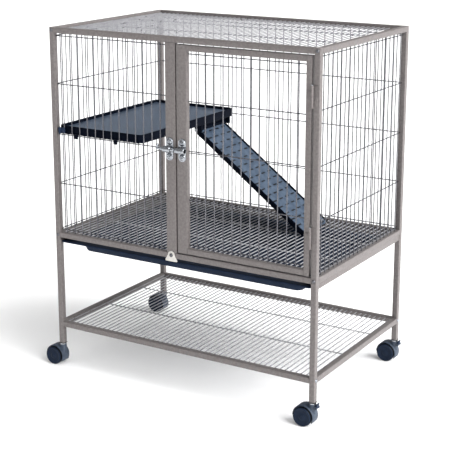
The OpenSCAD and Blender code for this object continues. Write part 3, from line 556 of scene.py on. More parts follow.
@dataclass
class TubeFrame:
    """The welded tubes of the cage, its legs and its shelf, with their bolts and caps."""

    sizes: CageSizes

    def rail(self, axis: Axis, at: float, z: float) -> Shell:
        """Rail between the posts: along the width at a depth, or along the depth at a place in the width."""
        s = self.sizes
        pos, size = [at, at, z], [s.square] * 3
        pos[axis.value] = s.square + s.butt
        size[axis.value] = (s.right_x, s.back_y)[axis.value] - s.square - 2 * s.butt
        return tube(pos, size, axis)

    def upright(self, x: float, y: float, low: float, high: float, width: float | None = None) -> Shell:
        """Post, leg or wide upright."""
        s = self.sizes
        return tube((x, y, low), (width or s.square, s.square, high - low), Axis.Z)

    def build(self) -> None:
        """Makes every tube, and dresses the joiners, plugs, caps and bolts."""
        s = self.sizes
        divider = self.upright(s.divider_x, 0, s.sill + s.butt, s.head - s.butt, s.wide)
        for name, y, extra in (("front_frame", 0.0, [divider]), ("back_frame", s.back_y, [])):
            parts = [self.upright(x, y, s.low, s.top) for x in (0.0, s.right_x)]
            parts += [self.rail(Axis.X, y, z) for z in (s.low, s.head)]
            add_piece(name + "_tubes", join(parts + extra), POWDER_COAT, "root", [name])
        for name, x in (("left_side_rails", 0.0), ("right_side_rails", s.right_x)):
            parts = [self.rail(Axis.Y, x, z) for z in (s.low, s.head)]
            add_piece(name + "_tubes", join(parts), POWDER_COAT, "root", [name])
        corners = {"left_front": (0.0, 0.0), "right_front": (s.right_x, 0.0),
                   "left_back": (0.0, s.back_y), "right_back": (s.right_x, s.back_y)}
        for name, (x, y) in corners.items():
            leg = self.upright(x, y, s.leg_z, s.low)
            add_piece(name + "_leg_tube", leg, POWDER_COAT, "root", [name + "_leg"])
        shelf = [self.rail(Axis.X, y, s.shelf_z) for y in (0.0, s.back_y)]
        shelf += [self.rail(Axis.Y, x, s.shelf_z) for x in (0.0, s.right_x)]
        add_piece("shelf_tubes", join(shelf), POWDER_COAT, "root", ["shelf_frame"])
        dress("leg_joiners", DARK_PLASTIC)
        dress("rail_plugs", DARK_PLASTIC)
        dress("post_caps", CAP_PLASTIC)
        dress("frame_bolts", DARK_STEEL)
        dress("shelf_bolts", ZINC)


@dataclass
class WirePanels:
    """The welded wire panels of the walls, the top, the floor and the shelf."""

    sizes: CageSizes
    deck_cross: tuple[float, ...] = (1 / 3, 2 / 3)
    shelf_cross: tuple[float, ...] = (0.38, 0.73)
    # The level grilles take the lighter copies of the wire coat, painted light.
    decks: tuple[tuple[str, Finish], ...] = (("top_grille", LIT_DECK_WIRE), ("floor_grille", LIT_FLOOR_WIRE),
                                             ("shelf_wires", LIT_DECK_WIRE))

    @staticmethod
    def row(low: float, high: float, pitch: float, edge: float) -> np.ndarray:
        """Places of wires: as many as fit the span with an edge left free, centred in it."""
        count = math.floor((high - low - 2 * edge) / pitch) + 1
        return low + (high - low - (count - 1) * pitch) / 2 + pitch * np.arange(count)

    def heights(self, low: float, high: float) -> np.ndarray:
        """Heights of the cross wires: one near each rail, three between them."""
        edge = self.sizes.edge_wire
        return np.array([low + edge, *(low + (high - low) * np.array([0.25, 0.5, 0.75])), high - edge])

    def wall(self, axis: Axis, span: Vec, rise: Vec, at: float, side: int) -> Shell:
        """Upright panel of wires.

        Args:
            axis: X for a panel across the width, Y for one across the depth.
            span: Where its cross wires start and end.
            rise: Where its upright wires start and end.
            at: Place of the upright wires on the other axis.
            side: 1 or -1, the side of them that the cross wires are on.

        Returns:
            The panel's wires.
        """
        s, (low, high), (foot, head) = self.sizes, span, rise
        pitch = (s.front_pitch, s.side_pitch)[axis.value]
        order = [axis.value, 1 - axis.value, 2]
        up = points(self.row(low, high, pitch, pitch / 2), at, foot)[:, order]
        across = points(low, at + side * s.crossing, self.heights(foot, head))[:, order]
        return join([rods(up, head - foot, s.wire_r, Axis.Z), rods(across, high - low, s.wire_r, axis)])

    def deck(self, z: float, cross: Vec) -> Shell:
        """Level grille: wires along the depth at height z, cross wires under them."""
        s = self.sizes
        x0, x1, y0, y1 = s.square, s.right_x, s.square, s.back_y
        along = points(self.row(x0, x1, s.deck_pitch, s.deck_edge), y0, z)
        under = points(x0, y0 + (y1 - y0) * np.asarray(cross), z - s.crossing)
        return join([rods(along, y1 - y0, s.wire_r, Axis.Y), rods(under, x1 - x0, s.wire_r, Axis.X)])

    def build(self) -> None:
        """Makes the seven fixed panels."""
        s = self.sizes
        mid, rise, depth = s.square / 2, (s.sill, s.head), (s.square, s.back_y)
        panels = {
            "front_wires": self.wall(Axis.X, (s.square, s.divider_x), rise, mid, 1),
            "back_wires": self.wall(Axis.X, (s.square, s.right_x), rise, s.depth - mid, -1),
            "left_side_wires": self.wall(Axis.Y, depth, rise, mid, 1),
            "right_side_wires": self.wall(Axis.Y, depth, rise, s.width - mid, -1),
            "top_grille": self.deck(s.top - mid, self.deck_cross),
            "floor_grille": self.deck(s.low + s.floor_up, self.deck_cross),
            "shelf_wires": self.deck(s.shelf_z + s.square - s.shelf_wire_down, self.shelf_cross),
        }
        for name, shell in panels.items():
            finish = dict(self.decks).get(name, WALL_WIRE)
            add_piece(name + "_round", shell, finish, "root", [name])


@dataclass
class Door:
    """The hinged front door: four tubes, its wires and two barrel hinges."""

    sizes: CageSizes
    panels: WirePanels
    gap: float = 3.0
    hinge_gap: float = 6.0
    hinge_h: float = 54.0
    hinge_in: float = 113.0
    hinge_out: float = 3.5
    knuckle_r: float = 4.0
    bore_r: float = 2.05
    leaf_w: float = 14.0
    leaf_t: float = 1.5
    leaf_back: float = 1.6
    play: float = 0.3

    @property
    def edges(self) -> tuple[float, float, float, float]:
        """The door's left, right, lower and upper edge."""
        s = self.sizes
        return s.divider_x + s.wide + self.gap, s.right_x - self.hinge_gap, s.sill + self.gap, s.head - self.gap

    def frame_tubes(self) -> Shell:
        """The door's two stiles and two rails."""
        s, (x0, x1, z0, z1) = self.sizes, self.edges
        rail_x = x0 + s.wide + s.butt
        rail_len = x1 - s.square - s.butt - rail_x
        parts = [tube((x0, 0, z0), (s.wide, s.square, z1 - z0), Axis.Z),
                 tube((x1 - s.square, 0, z0), (s.square, s.square, z1 - z0), Axis.Z)]
        parts += [tube((rail_x, 0, z), (rail_len, s.square, s.square), Axis.X) for z in (z0, z1 - s.square)]
        return join(parts)

    def wires(self) -> Shell:
        """The door's wire panel."""
        s, (x0, x1, z0, z1) = self.sizes, self.edges
        span, rise = (x0 + s.wide, x1 - s.square), (z0 + s.square, z1 - s.square)
        return self.panels.wall(Axis.X, span, rise, s.square / 2, 1)

    @property
    def hinge_x(self) -> float:
        """Place of the hinge axis, midway in the gap between door and post."""
        return self.sizes.right_x - self.hinge_gap / 2

    def knuckle(self, z: float, h: float) -> Shell:
        """Knuckle round the hinge axis."""
        return sleeve(self.bore_r, self.knuckle_r, h, 0.5, Axis.Z, (self.hinge_x, -self.hinge_out, z), 32)

    def post_leaf(self, z: float, quarter: float) -> Shell:
        """Leaf on the post: tall at its back, with a notch at its middle for the door's knuckle."""
        x0, x1, x2 = self.hinge_x, self.sizes.right_x + self.leaf_back, self.hinge_x + self.leaf_w
        outline = np.array([[x0, z - 2 * quarter], [x2 - 1, z - 2 * quarter], [x2, z - 2 * quarter + 1],
                            [x2, z + 2 * quarter - 1], [x2 - 1, z + 2 * quarter], [x0, z + 2 * quarter],
                            [x0, z + quarter], [x1, z + quarter], [x1, z - quarter], [x0, z - quarter]])
        return slab(outline, -self.leaf_t, 0, Axis.Y, 0.3)

    def build(self) -> None:
        """Makes the door, its leaves and the post's leaves."""
        s = self.sizes
        add_piece("door_tubes", self.frame_tubes(), POWDER_COAT, "door", ["door_frame"])
        add_piece("door_wires_round", self.wires(), WALL_WIRE, "door", ["door_wires"])
        quarter = self.hinge_h / 4
        mids = (s.low + self.hinge_in, s.top - self.hinge_in)
        moving: list[Shell] = []
        fixed: list[Shell] = []
        for z in mids:
            low, h = z - quarter + self.play, 2 * (quarter - self.play)
            leaf = block((self.hinge_x - self.leaf_w, -self.leaf_t, low), (self.hinge_x, 0, low + h), 0.5)
            moving += [self.knuckle(low, h), leaf]
            fixed += [self.knuckle(z - 2 * quarter, quarter), self.knuckle(z + quarter, quarter)]
            fixed.append(self.post_leaf(z, quarter))
        add_piece("door_leaves", join(moving), POWDER_COAT, "door", ["door_hinge_leaves"])
        add_piece("post_leaves", join(fixed), POWDER_COAT, "root", ["post_hinge_leaves"])
        dress("hinge_pins", ZINC)


@dataclass
class Latch:
    """The slide latch: two eared plates with sleeves, their screws, and the bolt with its knob."""

    z: float = 650.0
    axis_y: float = -8.8
    plate_x: Vec = (373.0, 410.0)
    sleeves: tuple[Vec, Vec] = ((360.0, 381.0), (395.5, 422.5))
    bores: Vec = (5.05, 5.5)
    sleeve_r: float = 8.05
    ear_r: float = 11.0
    screw_up: float = 18.5
    plate_t: float = 1.5
    head_r: float = 8.5
    head_h: float = 4.5
    slot_half: float = 1.0
    slot_reach: float = 4.2
    slot_deep: float = 1.3
    shank: float = 9.0

    def plate(self, side: int) -> Shell:
        """Plate with two round ears and the sleeve that lies across it."""
        x, (x0, x1) = self.plate_x[side], self.sleeves[side]
        ears = np.concatenate([arc(x, self.z + self.screw_up, self.ear_r, 0, 180, 16),
                               arc(x, self.z - self.screw_up, self.ear_r, 180, 360, 16)])
        barrel = sleeve(self.bores[side], self.sleeve_r, x1 - x0, 0.7, Axis.X, (x0, self.axis_y, self.z), 40)
        return join([slab(ears, -self.plate_t, 0, Axis.Y, 0.4), barrel])

    def screw_heads(self, x: float) -> Shell:
        """Domed heads with a cross recess: height = h (1 - q^2.4), less a soft-edged cross at the middle."""
        q = np.linspace(0, 1, 15)[:, None]
        u, v = [q * self.head_r * part for part in circle(48).T]
        arm, reach = np.minimum(np.abs(u), np.abs(v)), np.maximum(np.abs(u), np.abs(v))
        cross = np.clip((self.slot_half - arm) / 0.5, 0, 1) * np.clip((self.slot_reach - reach) / 0.9, 0, 1)
        rise = self.head_h * (1 - q ** 2.4) - self.slot_deep * cross
        shank = [(0, 0), (2, 0), (2, self.shank - 0.5), (0, self.shank)]
        heads = []
        for z in (self.z - self.screw_up, self.z + self.screw_up):
            heads.append(loft(points(x + u, -self.plate_t - rise, z + v)))
            heads.append(turned_piece(shank, Axis.Y, (x, -self.plate_t, z), 16))
        return join(heads)

    def bolt(self) -> Shell:
        """Round bolt with a rounded tip, turned down at its tail, where a short stem carries a ball."""
        start, length, r, tail_r, tail = 337.5, 54.0, 5.0, 3.2, 13.0
        round_tip = r * 0.6
        tip = [(r * math.cos(a), length - round_tip + round_tip * math.sin(a))
               for a in np.radians([0, 30, 60, 90])]
        neck = [(0, 0), (tail_r - 0.6, 0), (tail_r, 0.6), (tail_r, tail - 0.2), (r - 0.6, tail),
                (r, tail + 0.6)]
        rod = turned_piece(neck + tip, Axis.X, (start, self.axis_y, self.z), 32)
        knob_x, stem_r, up, ball = start + 4.0, 2.6, 8.0, 3.8
        a = np.radians(np.linspace(-43, 90, 12))
        profile = [(0, 0), (stem_r, 0)] + [(ball * math.cos(k), up + ball * math.sin(k)) for k in a]
        knob = turned_piece(profile, Axis.Z, (knob_x, self.axis_y, self.z), 28)
        return join([rod, knob])

    def build(self) -> None:
        """Makes the housing on the upright, the keeper on the door and the bolt."""
        add_piece("latch_plate", self.plate(0), ZINC, "root", ["latch_housing"])
        add_piece("latch_heads", self.screw_heads(self.plate_x[0]), ZINC, "root", ["latch_screws"])
        add_piece("keeper_plate", self.plate(1), ZINC, "door", ["latch_keeper", "keeper_sleeve"])
        add_piece("keeper_heads", self.screw_heads(self.plate_x[1]), ZINC, "door", ["keeper_screws"])
        add_piece("slide_bolt", self.bolt(), ZINC, "bolt", ["latch_bolt"])


@dataclass
class LitterTray:
    """The slide-out tray, the runners that carry it and the flap that keeps it in."""

    sizes: CageSizes
    low: Vec = (17.0, 1.0)
    high: Vec = (770.0, 490.0)
    rim_side: float = 38.0
    rim_end: float = 32.0
    top: float = 356.5
    rim_t: float = 4.0
    bottom: float = 325.0
    wall: float = 2.5
    lean: float = 12.0
    corner_r: float = 26.0
    rim_r: float = 6.0
    runner_x: Vec = (1.5, 27.5, 43.5)
    runner_z: float = 352.2
    sheet: float = 1.2
    flap_y: Vec = (-2.2, -0.9)

    def shell(self) -> Shell:
        """The tray as one skin: up its outside, round the rim's edge and down the basin's inside."""
        edge, basin, w = np.zeros(2), np.array([self.rim_side, self.rim_end]), self.wall
        r0, r1, k = self.corner_r - self.lean, self.corner_r, self.lean
        under, e, top, floor = self.top - self.rim_t, 1.3, self.top, self.bottom + self.wall
        # Each row: how far in from the rim's edge along X and Y, corner radius, height.
        rows = [(basin + k - w + 5, r0, self.bottom), (basin + k - w + 1.2, r0 + w, self.bottom + 0.7),
                (basin + k - w - 0.3, r0 + w, self.bottom + 3), (basin - w, r1 + w, under),
                (edge + e, self.rim_r - 0.6, under), (edge + 0.3, self.rim_r, under + 0.4),
                (edge, self.rim_r, under + e), (edge, self.rim_r, top - e),
                (edge + 0.35, self.rim_r, top - 0.35), (edge + e, self.rim_r - 0.6, top),
                (basin - 3, r1 + 3, top), (basin - 1, r1 + 1, top - 0.6), (basin, r1, top - 2.4),
                (basin + k - 1, r0 + 2, floor + 4), (basin + k + 1, r0, floor + 1.2),
                (basin + k + 5, r0 - 2, floor)]
        return loft(np.array([inset_loop(self.low, self.high, *row) for row in rows]))

    def runner(self) -> Shell:
        """Bent sheet channel under the left bottom rail."""
        s, t, (x0, x1, x2), z = self.sizes, self.sheet, self.runner_x, self.runner_z
        outline = np.array([[x0, z - t], [x1, z - t], [x1, z], [x0 + t, z], [x0 + t, s.low - t],
                            [x2, s.low - t], [x2, s.low], [x0, s.low]])
        return slab(outline, s.square + s.butt, s.back_y - s.butt, Axis.Y, 0.2)

    def strip(self) -> Shell:
        """Strip under the back rail that ends the tray's travel."""
        s, y = self.sizes, self.sizes.back_y + self.sizes.butt
        return block((s.square + s.butt, y, self.runner_z - self.sheet),
                     (s.right_x - s.butt, y + self.sheet, s.low - s.butt), 0.3)

    def flap(self) -> Shell:
        """The flap: a round top, sides that flare to a wide foot, and eased edges."""
        x, z, r, half, drop = 375.0, 374.0, 10.5, 18.0, 16.5
        side = np.array([[r + 1.6, -3.2], [half, 4 - drop], [half - 0.5, 0.8 - drop], [half - 2, -drop]])
        outline = np.concatenate([arc(x, z, r, 0, 180, 16), [x, z] + side * [-1, 1], [x, z] + side[::-1]])
        return slab(outline, *self.flap_y, Axis.Y, 0.35)

    def build(self) -> None:
        """Makes the tray, both runners, the strip behind them and the flap."""
        add_piece("litter_tray", self.shell(), TRAY_PLASTIC, "tray_body", ["tray"])
        left = self.runner()
        right = Shell(left.verts * [-1, 1, 1] + [self.sizes.width, 0, 0], left.faces)
        add_piece("tray_rails", join([left, right]), POWDER_COAT, "root", ["tray_runners"])
        add_piece("tray_end_strip", self.strip(), POWDER_COAT, "root", ["tray_stop"])
        add_piece("tray_flap", self.flap(), SATIN_STEEL, "guard", ["tray_guard"])
        dress("tray_guard_pivot", DARK_STEEL)


@dataclass
class Platform:
    """The moulded platform with its rim, hooks and ramp hanger painted near black as shade, and its thumb
    clamp.
    """

    low: Vec = (11.7, 11.7)
    high: Vec = (279.7, 465.7)
    z0: float = 649.2
    z1: float = 671.2
    wall: float = 4.0
    dip: float = 8.0
    deck_t: float = 3.0
    corner_r: float = 16.0
    wire_z: float = 647.5
    axis_x: float = 262.0
    axis_z: float = 634.7
    ramp_y: float = 304.0
    ramp_w: float = 138.0
    hooks: tuple[tuple[Axis, float], ...] = ((Axis.X, 73.2), (Axis.X, 200.2), (Axis.Y, 69.6), (Axis.Y, 346.2))
    hook_half: float = 6.0
    hook_in: float = 15.7
    ear_t: float = 6.0
    ear_top: float = 661.2
    clamp_at: Vec = (25.04, 3.8, 660.2)
    clamp_x: Vec = (16.5, 38.6)
    deck_in: float = 40.0

    def skin(self, rows: Sequence[tuple[float, float]]) -> Shell:
        """Skins the platform's outline. Each row says how far in it is drawn and at what height."""
        return loft(np.array([inset_loop(self.low, self.high, (d, d), max(self.corner_r - d, 2.0), z)
                              for d, z in rows]))

    def rim(self) -> Shell:
        """Rim and deck as one skin: out over the rim's rounded top and back under the deck."""
        under = self.z1 - self.dip - self.deck_t
        deck = self.z1 - self.dip
        w, e = self.wall, 1.0
        # Each row: how far in from the edge, height.
        rows = [(self.deck_in, under), (w + 1.5, under), (w, under - 1.5), (w, self.z0 + 0.4),
                (w - 0.4, self.z0), (0.5, self.z0), (0, self.z0 + 0.5), (0, self.z1 - e),
                (0.3, self.z1 - 0.3), (e, self.z1), (w - e, self.z1), (w - 0.3, self.z1 - 0.3),
                (w, self.z1 - e), (w, deck + 1.5), (w + 0.5, deck + 0.5), (w + 1.5, deck),
                (self.deck_in, deck)]
        return self.skin(rows)

    def deck(self) -> Shell:
        """Thin textured skin that lies on the deck inside the rim."""
        z, w = self.z1 - self.dip, self.wall
        rows = [(w + 1.7, z - 0.3), (w + 1.7, z + 0.2), (w + 2.1, z + 0.35), (self.deck_in, z + 0.35)]
        return self.skin(rows)

    def hook(self) -> np.ndarray:
        """Outline of a hook: distance from the wall's outer face, and height."""
        lip, t, drop = 8.3, 2.2, 7.4
        return np.array([[lip - t, self.wire_z - drop], [lip, self.wire_z - drop], [lip, self.z0],
                         [self.hook_in, self.z0], [self.hook_in, self.z0 + t], [lip - t, self.z0 + t]])

    def hanger(self) -> list[Shell]:
        """Hooks, the ears that hold the ramp's pin and the wall above its barrel."""
        y0, y1 = self.ramp_y, self.ramp_y + self.ramp_w
        parts = [slab(self.hook(), mid - self.hook_half, mid + self.hook_half, axis, 0.3)
                 for axis, mid in self.hooks]
        ear = rounded_outline((self.axis_x - 7, self.axis_z - 5.5), (self.high[0] - 2, self.ear_top), 2.5)
        parts += [slab(ear, y, y + self.ear_t, Axis.Y, 0.5) for y in (y0 - 1 - self.ear_t, y1 + 1)]
        parts.append(block((self.axis_x - 3, y0 - 4, self.axis_z + 6.1),
                           (self.axis_x + 3, y1 + 4, self.ear_top), 0.5))
        return parts

    def clamp(self) -> Shell:
        """Thumb clamp beside the left post: plate, boss, a waisted wing and its screw."""
        x, y, z = self.clamp_at
        plate = block((self.clamp_x[0], y, z - 7), (self.clamp_x[1], y + 2, z + 7), 0.8)
        boss = turned_piece([(0, 0), (4.5, 0), (4.5, -3.2), (3.6, -4.6), (0, -4.8)], Axis.Y, (x, y, z), 32)
        wing = np.concatenate([arc(x, z + 6.5, 2.4, 20, 160, 8), arc(x, z - 6.5, 2.4, 200, 340, 8)])
        screw = pin(2.5, 0, 11.4, Axis.Y, (x, y, z), 20)
        return join([plate, boss, slab(wing, y - 6, y - 1, Axis.Y, 0.8), screw])

    def build(self) -> None:
        """Makes the platform, its deck skin and its clamp."""
        add_piece("platform_rim", join([self.rim()] + self.hanger()), SHADED_RIM_PLASTIC, "root", ["platform"])
        add_piece("platform_deck", self.deck(), DECK_PLASTIC, "root")
        add_piece("platform_clamp", self.clamp(), NAVY_PLASTIC, "root", ["platform_knob"])


@dataclass
class Ramp:
    """The ramp: a tread with rows of grip grooves between two side walls, on a round barrel."""

    axis: Vec = (262.0, 304.0, 634.7)
    angle: float = 36.25
    length: float = 413.9
    width: float = 138.0
    tread_down: float = 3.5
    tread_t: float = 3.0
    lip: float = 4.0
    skirt: float = 9.5
    side_t: float = 4.0
    barrel_r: float = 5.5
    bore_r: float = 2.55
    rows: int = 18
    lanes: int = 4
    first: float = 13.0
    pitch: float = 23.2
    fill: float = 0.56
    groove_w: float = 4.6
    groove_t: float = 1.2
    grid: tuple[int, int] = (592, 132)

    def groove_depth(self, x: np.ndarray, y: np.ndarray) -> np.ndarray:
        """How deep the grip grooves are, from 0 to 1, over the tread. The same value lays painted shade in
        them.

        Each of the grooves is a soft-edged bar across the middle of its lane.

        Args:
            x: Distances down the slope.
            y: Distances across the ramp.

        Returns:
            An array of the same shape as x.
        """
        lane = (self.width - 2 * self.side_t) / self.lanes
        i = np.clip(np.round((x - self.first) / self.pitch), 0, self.rows - 1)
        c = np.clip(np.floor((y - self.side_t) / lane), 0, self.lanes - 1)
        along = np.abs(x - self.first - i * self.pitch)
        across = np.abs(y - self.side_t - (c + 0.5) * lane)
        inside = np.clip((self.groove_w / 2 + 0.35 - along) / 0.7, 0, 1)
        return inside * np.clip((self.fill * lane / 2 + 0.35 - across) / 0.7, 0, 1)

    def tread(self) -> tuple[Shell, np.ndarray]:
        """Tread plate whose upper skin is a height field with the grooves pressed into it.

        Returns:
            The plate in the ramp's own frame, and the depth of the grooves at each vertex, which also sets
            their painted shade.
        """
        xs = np.linspace(0, self.length, self.grid[0])
        ys = np.linspace(self.side_t - 1, self.width - self.side_t + 1, self.grid[1])
        x, y = np.meshgrid(xs, ys, indexing="ij")
        depth = self.groove_depth(x, y)
        top = points(x, y, -self.tread_down - self.groove_t * depth).reshape(-1, 3)
        rows, cols = x.shape
        edge = np.concatenate([np.arange(cols), np.arange(1, rows) * cols + cols - 1,
                               (rows - 1) * cols + np.arange(cols - 2, -1, -1),
                               np.arange(rows - 2, 0, -1) * cols])
        low = points(top[edge, 0], top[edge, 1], -self.tread_down - self.tread_t)
        under = len(top) + np.arange(len(edge))
        ring = np.stack([edge, np.roll(edge, -1), np.roll(under, -1), under], axis=1)
        faces = grid_quads(rows, cols, False, False).tolist() + ring.tolist() + [under.tolist()]
        return Shell(np.concatenate([top, low]), faces), np.concatenate([depth.ravel(), np.zeros(len(low))])

    def sides(self) -> Shell:
        """The two side walls with rounded edges and the barrel round the pin."""
        low = -self.tread_down - self.skirt
        outline = rounded_outline((0, low), (self.length, low + self.skirt + self.lip), 3.0, 5)
        walls = [slab(outline, y, y + self.side_t, Axis.Y, 0.9) for y in (0.0, self.width - self.side_t)]
        return join(walls + [sleeve(self.bore_r, self.barrel_r, self.width, 0.4, Axis.Y, (0, 0, 0), 40)])

    def placed(self, shell: Shell) -> Shell:
        """Turns a surface down the slope and moves it to the pin."""
        return shell.turned(Axis.Y, self.angle, (0, 0, 0)).moved(self.axis)

    def build(self) -> None:
        """Makes the tread and the sides."""
        tread, depth = self.tread()
        # The grooves are also mixed to near black by their depth: painted shade in the recesses.
        add_piece("ramp_tread", self.placed(tread), TREAD_PLASTIC, "ramp_body", groove=depth)
        # The side walls and barrel are painted near black: painted shade.
        add_piece("ramp_sides", self.placed(self.sides()), SHADED_RIM_PLASTIC, "ramp_body", ["ramp"])
        dress("ramp_pin", ZINC)


@dataclass
class Caster:
    """A twin-wheel caster: its hood, its wheels and, on the right, its brake pedal."""

    name: str
    stem: Vec
    braked: bool
    wheel_r: float = 25.0
    wheel_w: float = 16.0
    web_half: float = 4.8
    side_gap: float = 0.5
    trail: float = 20.0
    hood_gap: float = 1.2
    hood_t: float = 2.3
    hood_open: float = -30.0
    wheel_proud: float = 6.5
    boss_r: float = 9.5
    boss_top: float = 58.0
    boss_low: float = 33.0
    axle_r: float = 3.0
    axle_out: float = 15.05
    hood_end: float = 182.0
    pedal_out: float = 12.5
    pedal_z: float = 50.0
    pedal_half: float = 6.4
    trunnion: float = 8.7
    cheek_t: float = 2.0
    cheek_x: Vec = (4.5, 15.5)
    cheek_half: float = 3.5
    # Depth of the wheels' outer band that is painted near black as shade.
    painted_shade_band: float = 0.8

    def hood(self) -> Shell:
        """Hood band, swept about the axle with a rounded section, with its web and its boss."""
        x, (y, z) = self.stem[0] - self.trail, (self.stem[1], self.wheel_r)
        half = self.web_half + self.side_gap + self.wheel_w - self.wheel_proud
        r0 = self.wheel_r + self.hood_gap
        across, r = rounded_outline((-half, r0), (half, r0 + self.hood_t), 1.1).T
        t = np.radians(np.linspace(self.hood_open, self.hood_end, 72))[:, None]
        band = points(x + r * np.cos(t), y + across, z + r * np.sin(t))
        sector = np.concatenate([arc(x, z, r0 + 0.5, self.hood_open, self.hood_end, 60),
                                 arc(x, z, self.wheel_r - 3, self.hood_end, 360 + self.hood_open, 50)])
        web = slab(sector, y - self.web_half, y + self.web_half, Axis.Y, 0.6)
        parts = [loft(band), web, self.boss()]
        if self.braked:
            (x0, x1), rise = self.stem[0] + np.array(self.cheek_x), self.cheek_half
            cheek = rounded_outline((x0, self.pedal_z - rise), (x1, self.pedal_z + rise), 3.0, 5)
            parts += [slab(cheek, y0, y0 + self.cheek_t, Axis.Y, 0.4)
                      for y0 in (y - self.trunnion, y + self.trunnion - self.cheek_t)]
        return join(parts)

    def boss(self) -> Shell:
        """Round boss over the stem's pin, whose underside follows the hood: z = axle + sqrt(r^2 - x^2)."""
        r, seat_r, top = self.boss_r, self.wheel_r + self.hood_gap + 0.8, self.boss_top
        u, v = circle(48).T
        loops = []
        for ring in (0.4, r * 0.35, r * 0.7, r):
            level = self.wheel_r + np.sqrt(np.clip(seat_r ** 2 - (self.trail + ring * u) ** 2, 0, None))
            loops.append(points(ring * u, ring * v, np.maximum(level, self.boss_low)))
        for ring, level in ((r, top - 1.8), (r - 0.5, top - 0.6), (r - 1.8, top)):
            loops.append(points(ring * u, ring * v, level))
        return loft(np.array(loops)).moved((*self.stem, 0.0))

    def wheels(self) -> Shell:
        """Both wheels: a crowned tread, a raised rim ring, a dished face and a cap over the axle's end."""
        r, w, a = self.wheel_r, self.wheel_w, self.axle_r + 0.02
        profile = [(0, self.axle_out), (a, self.axle_out), (a, 0), (r - 1.6, 0), (r - 0.4, 0.5), (r, 1.6),
                   (r, w - 4.2), (r - 0.35, w - 2.6), (r - 1.2, w - 1.2), (r - 2.6, w - 0.25), (r - 3.6, w),
                   (r - 4.6, w - 0.25), (r - 5.2, w - 1.0), (r - 6.4, w - 1.5), (12, w - 1.9),
                   (8.4, w - 1.7), (7.4, w - 1.2), (6.6, w - 0.5), (5.4, w - 0.25), (0, w - 0.15)]
        y0 = self.web_half + self.side_gap
        near = turned_piece(profile, Axis.Y, (self.stem[0] - self.trail, self.stem[1] + y0, r), 72)
        far = Shell(near.verts * [1, -1, 1] + [0, 2 * self.stem[1], 0], near.faces)
        return join([near, far])

    def pedal(self) -> Shell:
        """Brake pedal: a hub, its trunnions and a plate that rises outwards."""
        x, y, z = self.stem[0] + self.pedal_out, self.stem[1], self.pedal_z
        t, rise, reach, half = 2.6, 11.5, 3.0, self.pedal_half
        outline = np.array([[x - t / 2, z], [x + t / 2, z], [x + reach, z + rise - 0.8],
                            [x + reach - 0.4, z + rise], [x + reach - t + 0.3, z + rise],
                            [x + reach - t, z + rise - 0.6]])
        return join([slab(outline, y - half, y + half, Axis.Y, 0.5), pin(t, -half, half, Axis.Y, (x, y, z), 28),
                     pin(1.5, -self.trunnion, self.trunnion, Axis.Y, (x, y, z), 20)])

    def build(self) -> None:
        """Makes the hood, the wheels and the pedal, and dresses the axle."""
        name, wheels = self.name, self.wheels()
        r = np.hypot(wheels.verts[:, 0] - (self.stem[0] - self.trail), wheels.verts[:, 2] - self.wheel_r)
        add_piece(name + "_hood_shell", self.hood(), LIT_HOOD_PLASTIC, name + "_caster", [name + "_hood"])
        # The outer band of both wheels is mixed to near black: painted shade for the shadowed gap between the
        # wheels and the hood.
        add_piece(name + "_twin_wheels", wheels, WHEEL_TREAD, name + "_wheel_pair", [name + "_wheels"],
                  groove=r > self.wheel_r - self.painted_shade_band)
        dress(name + "_axle", ZINC)
        if self.braked:
            add_piece(name + "_pedal_plate", self.pedal(), NAVY_PLASTIC, name + "_pedal", [name + "_brake"])


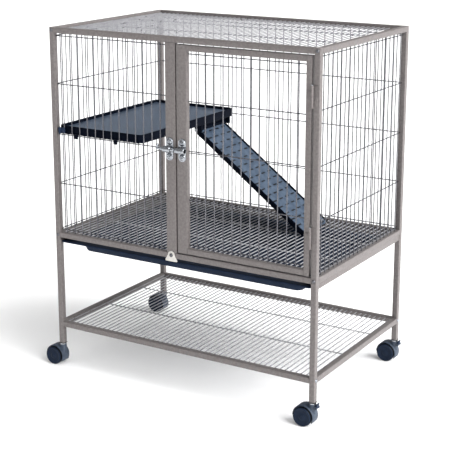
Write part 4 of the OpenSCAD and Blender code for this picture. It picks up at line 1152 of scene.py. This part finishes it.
@dataclass
class Studio:
    """Camera, floor and soft light, set close to the photograph's view."""

    camera_at: Vec = (2053.2, -2499.9, 1308.8)
    yaw: float = 31.295
    pitch: float = 13.798
    focal_px: float = 1237.5
    frame_px: float = 450.0
    shift_y: float = -0.10
    sky: float = 0.42
    floor_glow: float = 0.11
    floor_half: float = 60.0
    wall_radius: float = 40.0
    wall_sides: int = 48
    suns: tuple[tuple[str, Vec, float, float], ...] = (
        ("right_light", (2.6, 0.0, 1.6), 60.0, 6.4),
        ("top_light", (0.3, -0.5, 3.0), 60.0, 0.7),
    )

    def camera(self) -> None:
        """Sets the camera from the fitted place, yaw, pitch and focal length."""
        yaw, pitch = math.radians(self.yaw), math.radians(self.pitch)
        ahead = Vector((-math.sin(yaw) * math.cos(pitch), math.cos(yaw) * math.cos(pitch), -math.sin(pitch)))
        data = bpy.data.cameras.new("camera")
        data.sensor_width = SENSOR_MM
        data.lens = self.focal_px / self.frame_px * SENSOR_MM
        data.shift_y = self.shift_y
        data.dof.use_dof = False
        eye = put("camera", data)
        eye.location = Vector(((np.asarray(self.camera_at) - ORIGIN) / 1000).tolist())
        eye.rotation_euler = ahead.to_track_quat("-Z", "Y").to_euler()
        bpy.context.scene.camera = eye

    @staticmethod
    def surface(name: str, look: str, corners: np.ndarray, faces: np.ndarray, tone: float,
                glow: float) -> bpy.types.Object:
        """Adds a plain matt surface that stands round the object.

        Args:
            name: Its name.
            look: Its material's name.
            corners: Its corners in metres.
            faces: Its faces as rows of corner numbers.
            tone: Share of the light that it gives back.
            glow: Strength of its own white light.

        Returns:
            The new object.
        """
        mesh = bpy.data.meshes.new(name)
        mesh.from_pydata(corners.tolist(), [], faces.tolist())
        material = bpy.data.materials.new(look)
        material.use_nodes = True
        fill(material.node_tree.nodes["Principled BSDF"], {
            "Base Color": (tone, tone, tone, 1), "Roughness": 0.9, "Specular IOR Level": 0.1,
            "Emission Color": (1, 1, 1, 1), "Emission Strength": glow})
        mesh.materials.append(material)
        return put(name, mesh)

    def floor(self) -> None:
        """Plain pale floor as one wide quad."""
        corners = self.floor_half * np.array([(-1, -1, 0), (1, -1, 0), (1, 1, 0), (-1, 1, 0)])
        floor = self.surface("floor", "pale_floor", corners, np.array([[0, 1, 2, 3]]), 0.9, self.floor_glow)

    def backdrop(self) -> None:
        """White wall far round the floor, R (cos t, sin t) at two heights. It lights and shades nothing."""
        ring = self.wall_radius * circle(self.wall_sides)
        corners = np.concatenate([lifted(ring, level, Axis.Z) for level in (0.0, self.wall_radius)])
        faces = grid_quads(2, self.wall_sides, False, True)
        wall = self.surface("backdrop", "white_backdrop", corners, faces, 0.0, 1.0)
        wall.visible_diffuse = wall.visible_glossy = wall.visible_shadow = False

    def light(self) -> None:
        """White surroundings and wide soft suns, one from the upper right and one from above."""
        world = bpy.data.worlds.new("studio")
        world.use_nodes = True
        fill(world.node_tree.nodes["Background"], {"Color": (1, 1, 1, 1), "Strength": self.sky})
        bpy.context.scene.world = world
        for name, at, spread, strength in self.suns:
            data = bpy.data.lights.new(name, "SUN")
            data.angle = math.radians(spread)
            data.energy = strength
            lamp = put(name, data)
            lamp.location = at
            lamp.rotation_euler = (-Vector(at)).to_track_quat("-Z", "Y").to_euler()

    def build(self) -> None:
        """Sets up the whole studio."""
        bpy.context.scene.view_settings.view_transform = "Standard"
        self.camera()
        self.floor()
        self.backdrop()
        self.light()


def main() -> None:
    """Builds the sub-assemblies in order, then the studio."""
    sizes = CageSizes()
    panels = WirePanels(sizes)
    near, right, back = sizes.square / 2, sizes.width - sizes.square / 2, sizes.depth - sizes.square / 2
    casters = [Caster("left_front", (near, near), False), Caster("right_front", (right, near), True),
               Caster("left_back", (near, back), False), Caster("right_back", (right, back), True)]
    parts = [TubeFrame(sizes), panels, Door(sizes, panels), Latch(), LitterTray(sizes), Platform(), Ramp(),
             *casters]
    for part in parts:
        log.info("building %s", type(part).__name__)
        part.build()
    dress("caster_sockets", DARK_PLASTIC)
    dress("caster_stems", ZINC)
    Studio().build()


if __name__ == "__main__":
    main()
